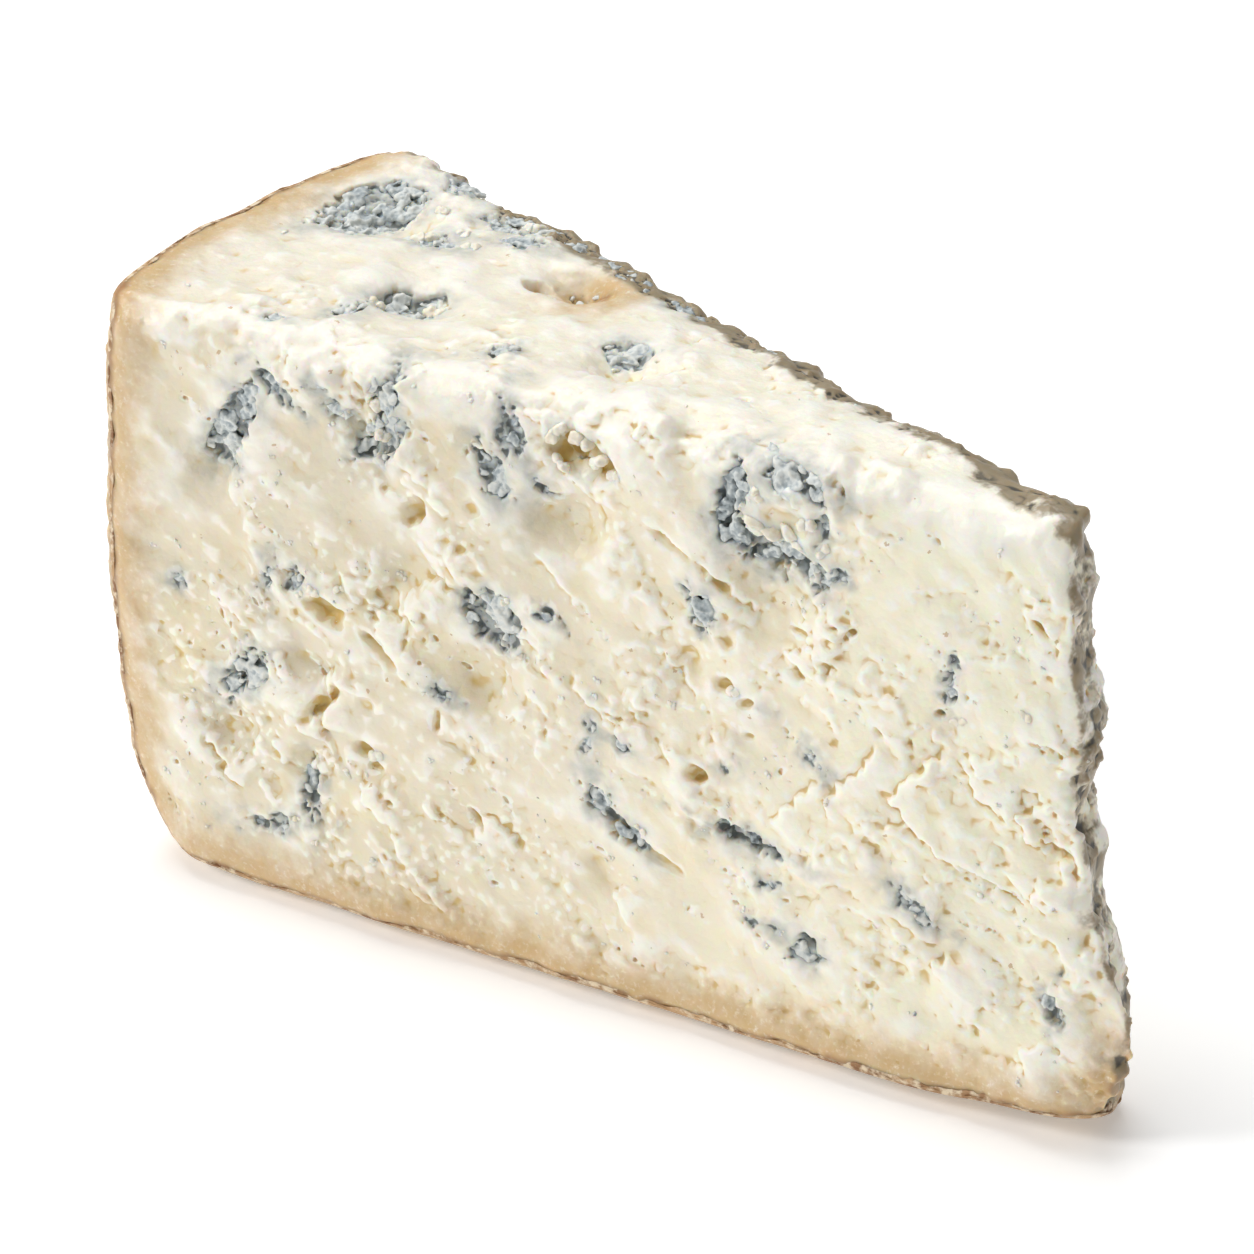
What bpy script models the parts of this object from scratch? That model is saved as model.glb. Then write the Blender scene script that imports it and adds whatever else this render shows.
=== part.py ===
"""A wedge of blue-veined soft cheese, cut from half of a wheel and standing on its rind.

The wheel was halved flat and then cut like a cake. So the wedge has rind underneath and on its
curved outer side, and bare paste on its two upright cut faces, on its top and at its blunt tip.
It is one solid. The steps are: a flat outline is raised to a prism, its edges are rounded, the
prism is remeshed evenly, and named relief functions then move the skin: the outlines of the
faces, the slumped edges, the torn tip, the broad waves and the larger hollows.

Metres, +Z up. The row frame has its origin at the bottom centre of the wedge's box. While the
wedge is shaped, the wheel's centre is at x = 0, y = 0: the front cut face runs along -X from it,
and the back cut face opens from it by the wedge angle.
"""

import math
from dataclasses import dataclass

import bmesh
import bpy
from mathutils import Matrix, Vector, noise

# Driving dimensions.
WHEEL_RADIUS = 0.1520
WEDGE_ANGLE = math.radians(23.8)
HEIGHT = 0.0862
RIND_PLAN_RADIUS = 0.085  # the outer side is rounder than the wheel: soft cheese sags out
TIP_WIDTH = 0.0075  # the blunt tip crumbles instead of ending in a blade

# Rounded edges.
RIND_CORNER_RADIUS = 0.0140
RIND_CORNER_STEPS = 5
CUT_EDGE_RADIUS = 0.0014
CUT_EDGE_STEPS = 2
SHARP_EDGE_ANGLE = math.radians(40)
BACK_EDGE_SLUMP = 0.0030
BACK_EDGE_REACH = 0.0100
BACK_EDGE_FADE = (0.004, 0.020)  # the slump of the back edge fades out toward the tip
TIP_TOP_SLUMP = 0.0018
TIP_TOP_REACH = 0.0090
TIP_LIFT = 0.0012  # the foot of the tip curls up off the table
TIP_LIFT_LENGTH = 0.034
TIP_LIFT_HEIGHT = 0.034

# Where each band of the skin begins and ends, as shares of the wheel's radius or of a face.
RIND_BAND = (0.90, 0.985)
RIND_WAVE_BAND = (0.955, 0.990)
RIND_FOOT_SHARE = 0.90
FRONT_FADE = 0.90  # the front face's lean fades out at this share of the wedge's depth
TIP_REACH_SHARE = 0.50  # the tip's outline is felt over this share of the radius
FACING = (0.50, 0.90)  # how squarely the skin must face a hollow's side

# Evenness of the skin.
VOXEL = 0.0033
RIND_ARC_STEPS = 14
FOOT_FLAT_BAND = 0.0009  # skin lower than this is pressed flat by the table
LEVEL = 1e-6

TIP_TEAR_REACH = 0.016  # the tip is torn this far back

# Outlines: each is a line of (share along the outline, metres that the skin stands out there).
# The front face's foot, from the rind to the tip.
FOOT_LINE = (
    (0.00, 0.0018),
    (0.15, 0.0040),
    (0.35, 0.0052),
    (0.55, 0.0062),
    (0.80, 0.0080),
    (0.92, 0.0076),
    (1.00, 0.0042),
)
# The tip, from the table to the top.
TIP_LINE = (
    (0.00, 0.0044),
    (0.08, 0.0014),
    (0.17, 0.0046),
    (0.29, 0.0012),
    (0.42, -0.0010),
    (0.54, -0.0032),
    (0.66, -0.0022),
    (0.78, -0.0032),
    (1.00, -0.0048),
)
# The outer side's profile, from the table to the top.
RIND_LINE = (
    (0.00, -0.0036),
    (0.10, -0.0020),
    (0.20, -0.0009),
    (0.35, 0.0003),
    (0.55, 0.0011),
    (0.80, 0.0007),
    (1.00, 0.0000),
)
# The back face's top edge, from the rind to the tip.
BACK_LINE = (
    (0.00, 0.0038),
    (0.05, 0.0030),
    (0.12, -0.0028),
    (0.18, -0.0024),
    (0.31, 0.0018),
    (0.49, -0.0004),
    (0.68, 0.0002),
    (0.84, 0.0022),
    (1.00, 0.0000),
)


@dataclass(frozen=True)
class Wave:
    """Fractal relief of the skin: its height and length in metres, and how it is layered."""

    height: float
    length: float
    fall_off: float
    gap: float
    layers: int

    def at(self, point):
        """The relief's height at a point."""
        place = point / self.length
        return noise.fractal(place, self.fall_off, self.gap, self.layers) * self.height


PASTE_WAVE = Wave(height=0.00050, length=0.0170, fall_off=0.8, gap=2.1, layers=3)
RIND_WAVE = Wave(height=0.00045, length=0.0120, fall_off=0.9, gap=2.0, layers=3)
TIP_TEAR = Wave(height=0.00120, length=0.0105, fall_off=0.7, gap=2.2, layers=3)


@dataclass(frozen=True)
class Hollow:
    """An oval dent in a cut face. Its place is in shares of the face, its size in metres."""

    face: str
    along: float  # 0 at the rind, 1 at the wheel's centre
    across: float  # 0 at the foot or front edge, 1 at the top or back edge
    length: float
    width: float
    turn: float  # degrees anticlockwise from the run of the face
    depth: float


HOLLOW_FLOOR = 0.35  # a hollow is level inside this share of its reach
HOLLOW_RIM = 1.25  # and has faded out at this one
HOLLOWS = (
    Hollow("front", 0.120, 0.760, 0.0130, 0.0070, 62, 0.0028),
    Hollow("front", 0.132, 0.290, 0.0105, 0.0075, 30, 0.0026),
    Hollow("front", 0.275, 0.880, 0.0120, 0.0065, 100, 0.0026),
    Hollow("front", 0.310, 0.630, 0.0120, 0.0070, 40, 0.0028),
    Hollow("front", 0.222, 0.445, 0.0110, 0.0070, -35, 0.0030),
    Hollow("front", 0.215, 0.280, 0.0140, 0.0060, 55, 0.0024),
    Hollow("front", 0.395, 0.500, 0.0130, 0.0100, -20, 0.0026),
    Hollow("front", 0.470, 0.800, 0.0130, 0.0090, 10, 0.0032),
    Hollow("front", 0.680, 0.770, 0.0190, 0.0150, -35, 0.0034),
    Hollow("front", 0.600, 0.625, 0.0090, 0.0065, 80, 0.0024),
    Hollow("front", 0.520, 0.230, 0.0150, 0.0050, -45, 0.0026),
    Hollow("top", 0.105, 0.700, 0.0180, 0.0120, 40, 0.0030),
    Hollow("top", 0.245, 0.400, 0.0140, 0.0100, 25, 0.0030),
    Hollow("top", 0.330, 0.780, 0.0110, 0.0080, 0, 0.0038),
    Hollow("top", 0.470, 0.420, 0.0110, 0.0080, 20, 0.0030),
    Hollow("back", 0.160, 0.640, 0.0150, 0.0090, 50, 0.0030),
    Hollow("back", 0.300, 0.300, 0.0130, 0.0080, -30, 0.0028),
    Hollow("back", 0.420, 0.760, 0.0120, 0.0090, 20, 0.0028),
    Hollow("back", 0.560, 0.460, 0.0160, 0.0080, -40, 0.0032),
    Hollow("back", 0.740, 0.700, 0.0120, 0.0080, 35, 0.0026),
)

UP = Vector((0.0, 0.0, 1.0))
RIND_DIRECTION = Vector((-1.0, 0.0, 0.0))
BACK_DIRECTION = Vector((-math.cos(WEDGE_ANGLE), math.sin(WEDGE_ANGLE), 0.0))
BACK_NORMAL = Vector((math.sin(WEDGE_ANGLE), math.cos(WEDGE_ANGLE), 0.0))


def clear_scene():
    """Removes every object, the startup ones included."""
    for thing in list(bpy.data.objects):
        bpy.data.objects.remove(thing)


def smooth_step(value, low, high):
    """0 below low, 1 above high, and a smooth rise between."""
    share = min(1.0, max(0.0, (value - low) / (high - low)))
    return share * share * (3.0 - 2.0 * share)


def along_line(line, share):
    """The height of an outline at a share along it, smoothly between its points."""
    if share <= line[0][0]:
        return line[0][1]
    for (low, start), (high, end) in zip(line, line[1:]):
        if share <= high:
            return start + (end - start) * smooth_step(share, low, high)
    return line[-1][1]


def rind_arc():
    """Plan points of the outer side, from the front cut face round to the back one."""
    front = RIND_DIRECTION * WHEEL_RADIUS
    back = BACK_DIRECTION * WHEEL_RADIUS
    chord = back - front
    rise = math.sqrt(RIND_PLAN_RADIUS**2 - (chord.length / 2) ** 2)
    inward = Vector((chord.y, -chord.x, 0.0)).normalized()
    centre = (front + back) / 2 + inward * rise
    start = front - centre
    swing = 2 * math.asin(chord.length / 2 / RIND_PLAN_RADIUS)
    return [
        centre + Matrix.Rotation(-swing * step / RIND_ARC_STEPS, 3, "Z") @ start
        for step in range(RIND_ARC_STEPS + 1)
    ]


def make_prism():
    """The wedge's outline raised to its height, with rounded edges, as a bmesh."""
    shape = bmesh.new()
    tip_front = Vector((0.0, 0.0, 0.0))
    tip_back = TIP_WIDTH * Vector((-math.sin(WEDGE_ANGLE), math.cos(WEDGE_ANGLE), 0.0))
    outline = [tip_front, tip_back, *reversed(rind_arc())]
    floor = shape.faces.new([shape.verts.new(point) for point in outline])
    raised = bmesh.ops.extrude_face_region(shape, geom=[floor])["geom"]
    lifted = [item for item in raised if isinstance(item, bmesh.types.BMVert)]
    bmesh.ops.translate(shape, verts=lifted, vec=UP * HEIGHT)
    bmesh.ops.recalc_face_normals(shape, faces=shape.faces)
    round_edges(shape, rind_foot_edges(shape), RIND_CORNER_RADIUS, RIND_CORNER_STEPS)
    sharp = [edge for edge in shape.edges if edge.calc_face_angle(0.0) > SHARP_EDGE_ANGLE]
    round_edges(shape, sharp, CUT_EDGE_RADIUS, CUT_EDGE_STEPS)
    return shape


def rind_foot_edges(shape):
    """The edges where the outer side meets the bottom."""
    near = WHEEL_RADIUS * RIND_FOOT_SHARE
    return [
        edge
        for edge in shape.edges
        if all(vert.co.z < LEVEL and vert.co.xy.length > near for vert in edge.verts)
    ]


def round_edges(shape, edges, radius, steps):
    """Bevels the edges to a round of that radius."""
    bmesh.ops.bevel(
        shape,
        geom=edges,
        offset=radius,
        offset_type="OFFSET",
        segments=steps,
        profile=0.5,
        affect="EDGES",
        clamp_overlap=True,
        material=-1,
    )


def even_skin(shape):
    """A new bmesh of the prism with evenly spaced points, through a voxel Remesh."""
    rough = bpy.data.meshes.new("prism")
    shape.to_mesh(rough)
    shape.free()
    holder = bpy.data.objects.new("prism", rough)
    bpy.context.scene.collection.objects.link(holder)
    remesh = holder.modifiers.new("even", "REMESH")
    remesh.mode = "VOXEL"
    remesh.voxel_size = VOXEL
    graph = bpy.context.evaluated_depsgraph_get()
    even = bmesh.new()
    even.from_object(holder, graph)
    bpy.data.objects.remove(holder)
    bpy.data.meshes.remove(rough)
    even.normal_update()
    return even


def face_shares(face, point):
    """(along, across) of a point on a cut face, each 0 to 1, and the face's outward normal."""
    if face == "front":
        return 1 + point.x / WHEEL_RADIUS, point.z / HEIGHT, Vector((0.0, -1.0, 0.0))
    if face == "back":
        reach = point.dot(BACK_DIRECTION)
        return 1 - reach / WHEEL_RADIUS, point.z / HEIGHT, BACK_NORMAL
    reach = max(point.xy.length, TIP_WIDTH)
    turn = math.atan2(point.y, -point.x) / WEDGE_ANGLE
    return 1 - reach / WHEEL_RADIUS, turn, UP


def face_breadth(face, along):
    """The width in metres of a face across its run, which on the top narrows to the tip."""
    if face == "top":
        return max((1 - along) * WHEEL_RADIUS * WEDGE_ANGLE, TIP_WIDTH)
    return HEIGHT


def hollow_move(point, normal):
    """How far the larger hollows take a point into the paste."""
    move = Vector()
    for hollow in HOLLOWS:
        along, across, outward = face_shares(hollow.face, point)
        facing = smooth_step(normal.dot(outward), *FACING)
        if facing == 0.0:
            continue
        run = (along - hollow.along) * WHEEL_RADIUS
        rise = (across - hollow.across) * face_breadth(hollow.face, hollow.along)
        turn = math.radians(hollow.turn)
        long_way = run * math.cos(turn) + rise * math.sin(turn)
        short_way = rise * math.cos(turn) - run * math.sin(turn)
        reach = math.hypot(long_way / hollow.length * 2, short_way / hollow.width * 2)
        bowl = 1 - smooth_step(reach, HOLLOW_FLOOR, HOLLOW_RIM)
        move -= outward * (hollow.depth * bowl * facing)
    return move


def outline_move(point, normal):
    """Moves the foot of the front face, the tip, the outer side and the back edge out."""
    height_share = min(1.0, max(0.0, point.z / HEIGHT))
    low = 1 - height_share
    reach = max(0.0, -point.x)
    along = 1 - reach / WHEEL_RADIUS
    depth_here = max(TIP_WIDTH, reach * math.tan(WEDGE_ANGLE))
    front_share = 1 - smooth_step(point.y / depth_here, 0.0, FRONT_FADE)
    near_tip = 1 - smooth_step(reach, 0.0, WHEEL_RADIUS * TIP_REACH_SHARE)
    move = Vector((0.0, -along_line(FOOT_LINE, along) * low * front_share, 0.0))
    move.x = along_line(TIP_LINE, height_share) * near_tip
    sideways = Vector((normal.x, normal.y, 0.0))
    outer = smooth_step(point.xy.length / WHEEL_RADIUS, *RIND_BAND)
    move += sideways * (along_line(RIND_LINE, height_share) * outer)
    back_share = smooth_step(normal.dot(BACK_NORMAL), 0.0, 1.0) * height_share
    move += BACK_NORMAL * (along_line(BACK_LINE, along) * back_share)
    return move


def slump_move(point):
    """The slumped back edge, the rounded top of the tip and the lift at the tip's foot."""
    reach = max(0.0, -point.x)
    under_top = max(0.0, HEIGHT - point.z)
    from_back = max(0.0, TIP_WIDTH - point.dot(BACK_NORMAL))
    slump = 1 - smooth_step(math.hypot(from_back, under_top), 0.0, BACK_EDGE_REACH)
    slump *= smooth_step(reach, *BACK_EDGE_FADE)
    move = (UP + BACK_NORMAL).normalized() * (-BACK_EDGE_SLUMP * slump)
    from_tip = math.hypot(reach, under_top)
    tip_slump = 1 - smooth_step(from_tip, 0.0, TIP_TOP_REACH)
    move += (RIND_DIRECTION - UP).normalized() * (TIP_TOP_SLUMP * tip_slump)
    low = 1 - smooth_step(point.z, 0.0, TIP_LIFT_HEIGHT)
    move.z += tip_lift(reach) * low
    return move


def tip_lift(reach):
    """How far the foot is off the table at a distance from the tip."""
    return TIP_LIFT * (1 - smooth_step(reach, 0.0, TIP_LIFT_LENGTH))


def wave_move(point, normal):
    """Broad waves: softer on the paste, shorter on the rind, and torn at the tip."""
    outer = smooth_step(point.xy.length / WHEEL_RADIUS, *RIND_WAVE_BAND)
    skin = PASTE_WAVE.at(point) * (1 - outer) + RIND_WAVE.at(point) * outer
    near_tip = 1 - smooth_step(-point.x, 0.0, TIP_TEAR_REACH)
    return normal * (skin + TIP_TEAR.at(point) * near_tip)


def shape_skin(skin):
    """Moves every point of the even skin by the relief functions, then presses the foot flat."""
    foot = {
        vert: tip_lift(-vert.co.x)
        for vert in skin.verts
        if vert.co.z < FOOT_FLAT_BAND and vert.normal.z < -FACING[1]
    }
    moved = {}
    for vert in skin.verts:
        point, normal = vert.co.copy(), vert.normal.copy()
        target = point + outline_move(point, normal) + slump_move(point)
        moved[vert] = target + hollow_move(point, normal) + wave_move(point, normal)
    for vert, target in moved.items():
        vert.co = target
    for vert, lift in foot.items():
        vert.co.z = lift
    for vert in skin.verts:
        vert.co.z = max(vert.co.z, 0.0)


def tidy_foot(skin):
    """Dissolves the level part of the bottom into one flat face."""
    level = [face for face in skin.faces if all(vert.co.z < LEVEL for vert in face.verts)]
    bmesh.ops.dissolve_faces(skin, faces=level, use_verts=True)


def centre_on_foot(skin):
    """Moves the wedge so that its box's bottom centre is the origin."""
    xs = [vert.co.x for vert in skin.verts]
    ys = [vert.co.y for vert in skin.verts]
    middle = Vector(((min(xs) + max(xs)) / 2, (min(ys) + max(ys)) / 2, 0.0))
    bmesh.ops.translate(skin, verts=skin.verts, vec=-middle)


def paste_material():
    """Pale cream paste with a soft, damp shine."""
    material = bpy.data.materials.new("paste")
    material.use_nodes = True
    shader = material.node_tree.nodes["Principled BSDF"]
    shader.inputs["Base Color"].default_value = (0.86, 0.80, 0.66, 1.0)
    shader.inputs["Roughness"].default_value = 0.42
    shader.inputs["Metallic"].default_value = 0.0
    return material


def build_wedge():
    """The finished wedge as one named object in a collection of its own."""
    skin = even_skin(make_prism())
    shape_skin(skin)
    tidy_foot(skin)
    centre_on_foot(skin)
    bmesh.ops.triangulate(skin, faces=[face for face in skin.faces if len(face.verts) == 4])
    mesh = bpy.data.meshes.new("cheese_wedge")
    skin.to_mesh(mesh)
    skin.free()
    mesh.materials.append(paste_material())
    mesh.shade_smooth()
    wedge = bpy.data.objects.new("cheese_wedge", mesh)
    group = bpy.data.collections.new("blue_cheese_wedge")
    bpy.context.scene.collection.children.link(group)
    group.objects.link(wedge)
    return wedge


clear_scene()
build_wedge()
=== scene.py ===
"""Dresses the blue cheese wedge: torn paste, mould pockets, eyes, curd crumbs and papery rind.

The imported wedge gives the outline. The paste is a finely remeshed copy of it, swollen and torn by
named relief, with real hollows cut for its pockets, eyes and pits. Mould growth fills the pockets,
crumbs of curd lie on the torn faces, and a ruffled frill of rind edges them. Feature tables are in
shares of the wedge's box and in millimetres; everything else is in metres.
"""

import logging
import math
from dataclasses import dataclass
from enum import Enum
from random import Random

import bmesh
import bpy
import numpy as np
from mathutils import Matrix, Vector, noise
from mathutils.bvhtree import BVHTree


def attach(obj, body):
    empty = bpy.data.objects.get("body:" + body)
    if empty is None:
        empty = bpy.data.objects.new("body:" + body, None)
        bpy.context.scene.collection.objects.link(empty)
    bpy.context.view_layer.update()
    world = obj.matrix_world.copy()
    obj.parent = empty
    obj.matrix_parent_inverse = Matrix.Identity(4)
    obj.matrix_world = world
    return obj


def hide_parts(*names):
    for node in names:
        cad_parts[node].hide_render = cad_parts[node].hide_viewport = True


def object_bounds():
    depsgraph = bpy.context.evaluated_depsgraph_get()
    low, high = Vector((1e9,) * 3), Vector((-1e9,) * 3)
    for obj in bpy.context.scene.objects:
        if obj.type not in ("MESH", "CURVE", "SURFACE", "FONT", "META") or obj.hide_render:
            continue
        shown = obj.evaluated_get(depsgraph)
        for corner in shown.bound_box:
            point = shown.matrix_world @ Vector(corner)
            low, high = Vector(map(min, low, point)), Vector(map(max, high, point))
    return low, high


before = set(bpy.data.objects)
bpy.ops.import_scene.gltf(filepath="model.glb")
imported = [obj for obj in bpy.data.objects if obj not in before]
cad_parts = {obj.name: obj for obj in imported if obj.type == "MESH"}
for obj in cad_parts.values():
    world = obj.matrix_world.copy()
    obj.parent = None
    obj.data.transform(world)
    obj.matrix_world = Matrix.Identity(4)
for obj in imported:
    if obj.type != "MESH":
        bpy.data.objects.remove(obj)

CAD_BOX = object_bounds()
NODE = "cheese_wedge"
BODY = "root"
MM = 0.001
WEDGE_TURN = math.radians(23.8)
BACK_WAY = (math.sin(WEDGE_TURN), math.cos(WEDGE_TURN), 0.0)
WHEEL_CENTRE = (76.10 * MM, -26.62 * MM)
WHEEL_RADIUS = 152.0 * MM
OCTAVE = 2.1
SPARE_PULL = 2.5e-5
LOG = logging.getLogger("wedge")

Array = np.ndarray
Mesh = bpy.types.Mesh
Piece = bpy.types.Object
Socket = bpy.types.NodeSocket
Tone = tuple[float, float, float]


# ---- Places on the wedge ----


class Side(Enum):
    """A side of the wedge: how a probe looks at it, its run, and the axes of its shares."""

    FRONT = ((0, 1, 0), (1, 0, 0), (0, 2))
    TOP = ((0, 0, -1), (1, 0, 0), (0, 1))
    BACK = ((0, -1, 0), (-1, 0, 0), (0, 2))
    TIP = ((-1, 0, 0), (0, 1, 0), (1, 2))

    @property
    def look(self) -> Vector:
        """The way in which a probe looks at this side."""
        return Vector(self.value[0])

    @property
    def run(self) -> Vector:
        """The level way along this side, seen from outside."""
        return Vector(self.value[1])

    @property
    def axes(self) -> tuple[int, int]:
        """The axes of the box along which a spot's two shares are taken."""
        return self.value[2]


@dataclass(frozen=True)
class Spot:
    """A place on a side, as shares of the wedge's box.

    On the front and back the shares are of length and height, on the top of length and width,
    and on the tip of width and height.
    """

    side: Side
    along: float
    across: float


@dataclass(frozen=True)
class Seat:
    """A place on the skin with its own axes: along the run, along the rise, and outward."""

    origin: Vector
    run: Vector
    rise: Vector
    out: Vector

    def matrix(self, turn: float = 0.0, dip: float = 0.0) -> Matrix:
        """The axes as a matrix.

        Args:
            turn: Degrees anticlockwise about the outward axis.
            dip: Degrees that the far end of the turned run sinks into the side.

        Returns:
            A 4 by 4 matrix from the seat's own axes to the wedge's frame.
        """
        basis = Matrix((self.run, self.rise, self.out)).transposed().to_4x4()
        spin = Matrix.Rotation(math.radians(turn), 4, "Z")
        lean = Matrix.Rotation(math.radians(dip), 4, "Y")
        return Matrix.Translation(self.origin) @ basis @ spin @ lean

    def local(self, points: Array, turn: float = 0.0) -> Array:
        """Points in this seat's turned axes, in metres."""
        inverse = np.array(self.matrix(turn).inverted())
        return points @ inverse[:3, :3].T + inverse[:3, 3]


class Probe:
    """Finds places on a skin by casting rays at it from outside."""

    STAND_OFF = 0.05

    def __init__(self, mesh: Mesh) -> None:
        """Builds the search tree of a mesh."""
        points = [vert.co.copy() for vert in mesh.vertices]
        faces = [tuple(poly.vertices) for poly in mesh.polygons]
        self.tree = BVHTree.FromPolygons(points, faces)
        self.low = Vector(CAD_BOX[0])
        self.size = Vector(CAD_BOX[1]) - self.low

    def at(self, spot: Spot) -> Seat:
        """The seat of a spot on the skin.

        Args:
            spot: The side and the shares of the box.

        Returns:
            The seat, with its outward axis along the skin's normal.
        """
        start = self.low + self.size / 2
        for axis, share in zip(spot.side.axes, (spot.along, spot.across)):
            start[axis] = self.low[axis] + share * self.size[axis]
        look = spot.side.look
        start -= look * (abs(self.size.dot(look)) / 2 + self.STAND_OFF)
        place, normal, _, _ = self.tree.ray_cast(start, look)
        if place is None:
            raise ValueError(f"{spot} misses the wedge")
        run = (spot.side.run - normal * normal.dot(spot.side.run)).normalized()
        return Seat(place, run, normal.cross(run), normal)

    def local(self, mark: "Mark", points: Array) -> Array:
        """Points in a mark's own axes, in metres."""
        return self.at(mark.spot).local(points, mark.turn)

    def drop(self, start: Vector, look: Vector, reach: float) -> tuple[Vector, Vector] | None:
        """Where a ray from a point first meets the skin, and the normal there, if it does."""
        place, normal, _, _ = self.tree.ray_cast(start, look, reach)
        return None if place is None else (place, normal)


# ---- Number work ----


def smooth_step(values: Array, low: float, high: float) -> Array:
    """0 below low, 1 above high, and a smooth rise between."""
    share = np.clip((values - low) / (high - low), 0.0, 1.0)
    return share * share * (3.0 - 2.0 * share)


def fractal_at(points: Array, length: float, layers: int = 3, seed: int = 0) -> Array:
    """Fractal noise at many points, with a spread of about one.

    Args:
        points: Places in metres, one a row.
        length: Wavelength of the broadest layer, in metres.
        layers: How many layers, each about half the wavelength of the last.
        seed: Chooses another pattern.

    Returns:
        One value for each point.
    """
    fade, spread = 0.8, 0.42
    shift = np.array((17.3, 5.9, 11.1)) * seed + 3.7
    places = (points / length + shift).tolist()
    call = noise.fractal
    values = (call(place, fade, OCTAVE, layers) for place in places)
    return np.fromiter(values, float, len(places)) / spread


def cells_at(points: Array, length: float, seed: int = 0) -> Array:
    """How far each point is from the heart of its grain, as a share of the grain size.

    Args:
        points: Places in metres, one a row.
        length: Grain size in metres.
        seed: Chooses another pattern.

    Returns:
        One value for each point, 0 at a heart and about 0.8 at most.
    """
    shift = np.array((7.7, 13.3, 2.9)) * seed
    places = (points / length + shift).tolist()
    call = noise.voronoi
    return np.fromiter((call(place)[0][0] for place in places), float, len(places))


def pocket_rim(points: Array) -> Array:
    """How uneven the outlines of the pockets are at each point, in millimetres."""
    return 0.5 * fractal_at(points, 2.6 * MM, 3, 41) + 0.16 * fractal_at(points, MM, 2, 43)


def sized(*half: float) -> Matrix:
    """A matrix that draws the unit ball out to its half sizes in millimetres."""
    return Matrix.Diagonal((*(size * MM for size in half), 1.0))


def turned(points: Array, degrees: float, stretch: float) -> Array:
    """Points turned about the width axis and drawn out, so that noise on them runs in streaks.

    Args:
        points: Places in metres, one a row.
        degrees: How far the streaks rise from level.
        stretch: How many times longer than wide the streaks are.

    Returns:
        The places to read noise at.
    """
    angle = math.radians(degrees)
    along = points[:, 0] * math.cos(angle) + points[:, 2] * math.sin(angle)
    across = points[:, 2] * math.cos(angle) - points[:, 0] * math.sin(angle)
    return np.column_stack((along / stretch, points[:, 1], across))


# ---- Mesh work ----


def add_object(name: str, mesh: Mesh) -> Piece:
    """Links a new object with this mesh to the scene."""
    piece = bpy.data.objects.new(name, mesh)
    bpy.context.scene.collection.objects.link(piece)
    return piece


def object_from(form: bmesh.types.BMesh, name: str) -> Piece:
    """Turns a bmesh into a new object and frees the bmesh."""
    mesh = bpy.data.meshes.new(name)
    form.to_mesh(mesh)
    form.free()
    return add_object(name, mesh)


def drop_object(piece: Piece) -> None:
    """Removes a scratch object and its mesh."""
    mesh = piece.data
    bpy.data.objects.remove(piece)
    bpy.data.meshes.remove(mesh)


def settle(piece: Piece) -> None:
    """Applies a piece's modifiers to its mesh."""
    graph = bpy.context.evaluated_depsgraph_get()
    fresh = bpy.data.meshes.new_from_object(piece.evaluated_get(graph))
    stale = piece.data
    piece.modifiers.clear()
    piece.data = fresh
    bpy.data.meshes.remove(stale)


def remesh(piece: Piece, voxel: float) -> None:
    """Gives a piece an even skin of small squares, which also joins what overlaps."""
    even = piece.modifiers.new("even", "REMESH")
    even.mode = "VOXEL"
    even.voxel_size = voxel
    settle(piece)


def relax(piece: Piece, rounds: int) -> None:
    """Smooths a piece's skin by that many rounds."""
    soften = piece.modifiers.new("soften", "SMOOTH")
    soften.factor = 0.5
    soften.iterations = rounds
    settle(piece)


def carve(piece: Piece, cutter: Piece) -> None:
    """Cuts a closed cutter out of a closed piece, and drops the cutter."""
    cut = piece.modifiers.new("cut", "BOOLEAN")
    cut.operation = "DIFFERENCE"
    cut.solver = "MANIFOLD"
    cut.object = cutter
    settle(piece)
    drop_object(cutter)


def triangle_count(mesh: Mesh) -> int:
    """How many triangles a mesh has."""
    return len(mesh.loops) - 2 * len(mesh.polygons)


def thin_out(piece: Piece, most: int, keep: Array | None = None) -> None:
    """Merges flat triangles until a piece has no more than that many.

    Args:
        piece: The piece.
        most: The most triangles it may have.
        keep: Where to spare the triangles, from 0 to 1 for each point.
    """
    now = triangle_count(piece.data)
    if now <= most:
        return
    fewer = piece.modifiers.new("fewer", "DECIMATE")
    fewer.ratio = most / now
    fewer.use_collapse_triangulate = True
    if keep is not None:
        group = piece.vertex_groups.new(name="spare")
        tenths = np.round((1.0 - 0.5 * keep) * 10)
        for tenth in range(5, 11):
            group.add(np.flatnonzero(tenths == tenth).tolist(), tenth / 10, "REPLACE")
        fewer.vertex_group = group.name
        fewer.vertex_group_factor = SPARE_PULL
    settle(piece)
    piece.vertex_groups.clear()


def points_of(mesh: Mesh) -> Array:
    """A mesh's points as an array, one a row."""
    flat = np.empty(len(mesh.vertices) * 3)
    mesh.vertices.foreach_get("co", flat)
    return flat.reshape(-1, 3)


def normals_of(mesh: Mesh) -> Array:
    """A mesh's point normals as an array, one a row."""
    flat = np.empty(len(mesh.vertices) * 3)
    mesh.vertex_normals.foreach_get("vector", flat)
    return flat.reshape(-1, 3)


def move_points(mesh: Mesh, points: Array) -> None:
    """Puts a mesh's points at new places."""
    mesh.vertices.foreach_set("co", points.ravel())
    mesh.update()


def store(mesh: Mesh, name: str, values: Array) -> None:
    """Keeps one number for each point of a mesh as a named attribute."""
    layer = mesh.attributes.new(name, "FLOAT", "POINT")
    layer.data.foreach_set("value", values.astype(np.float32))


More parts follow.
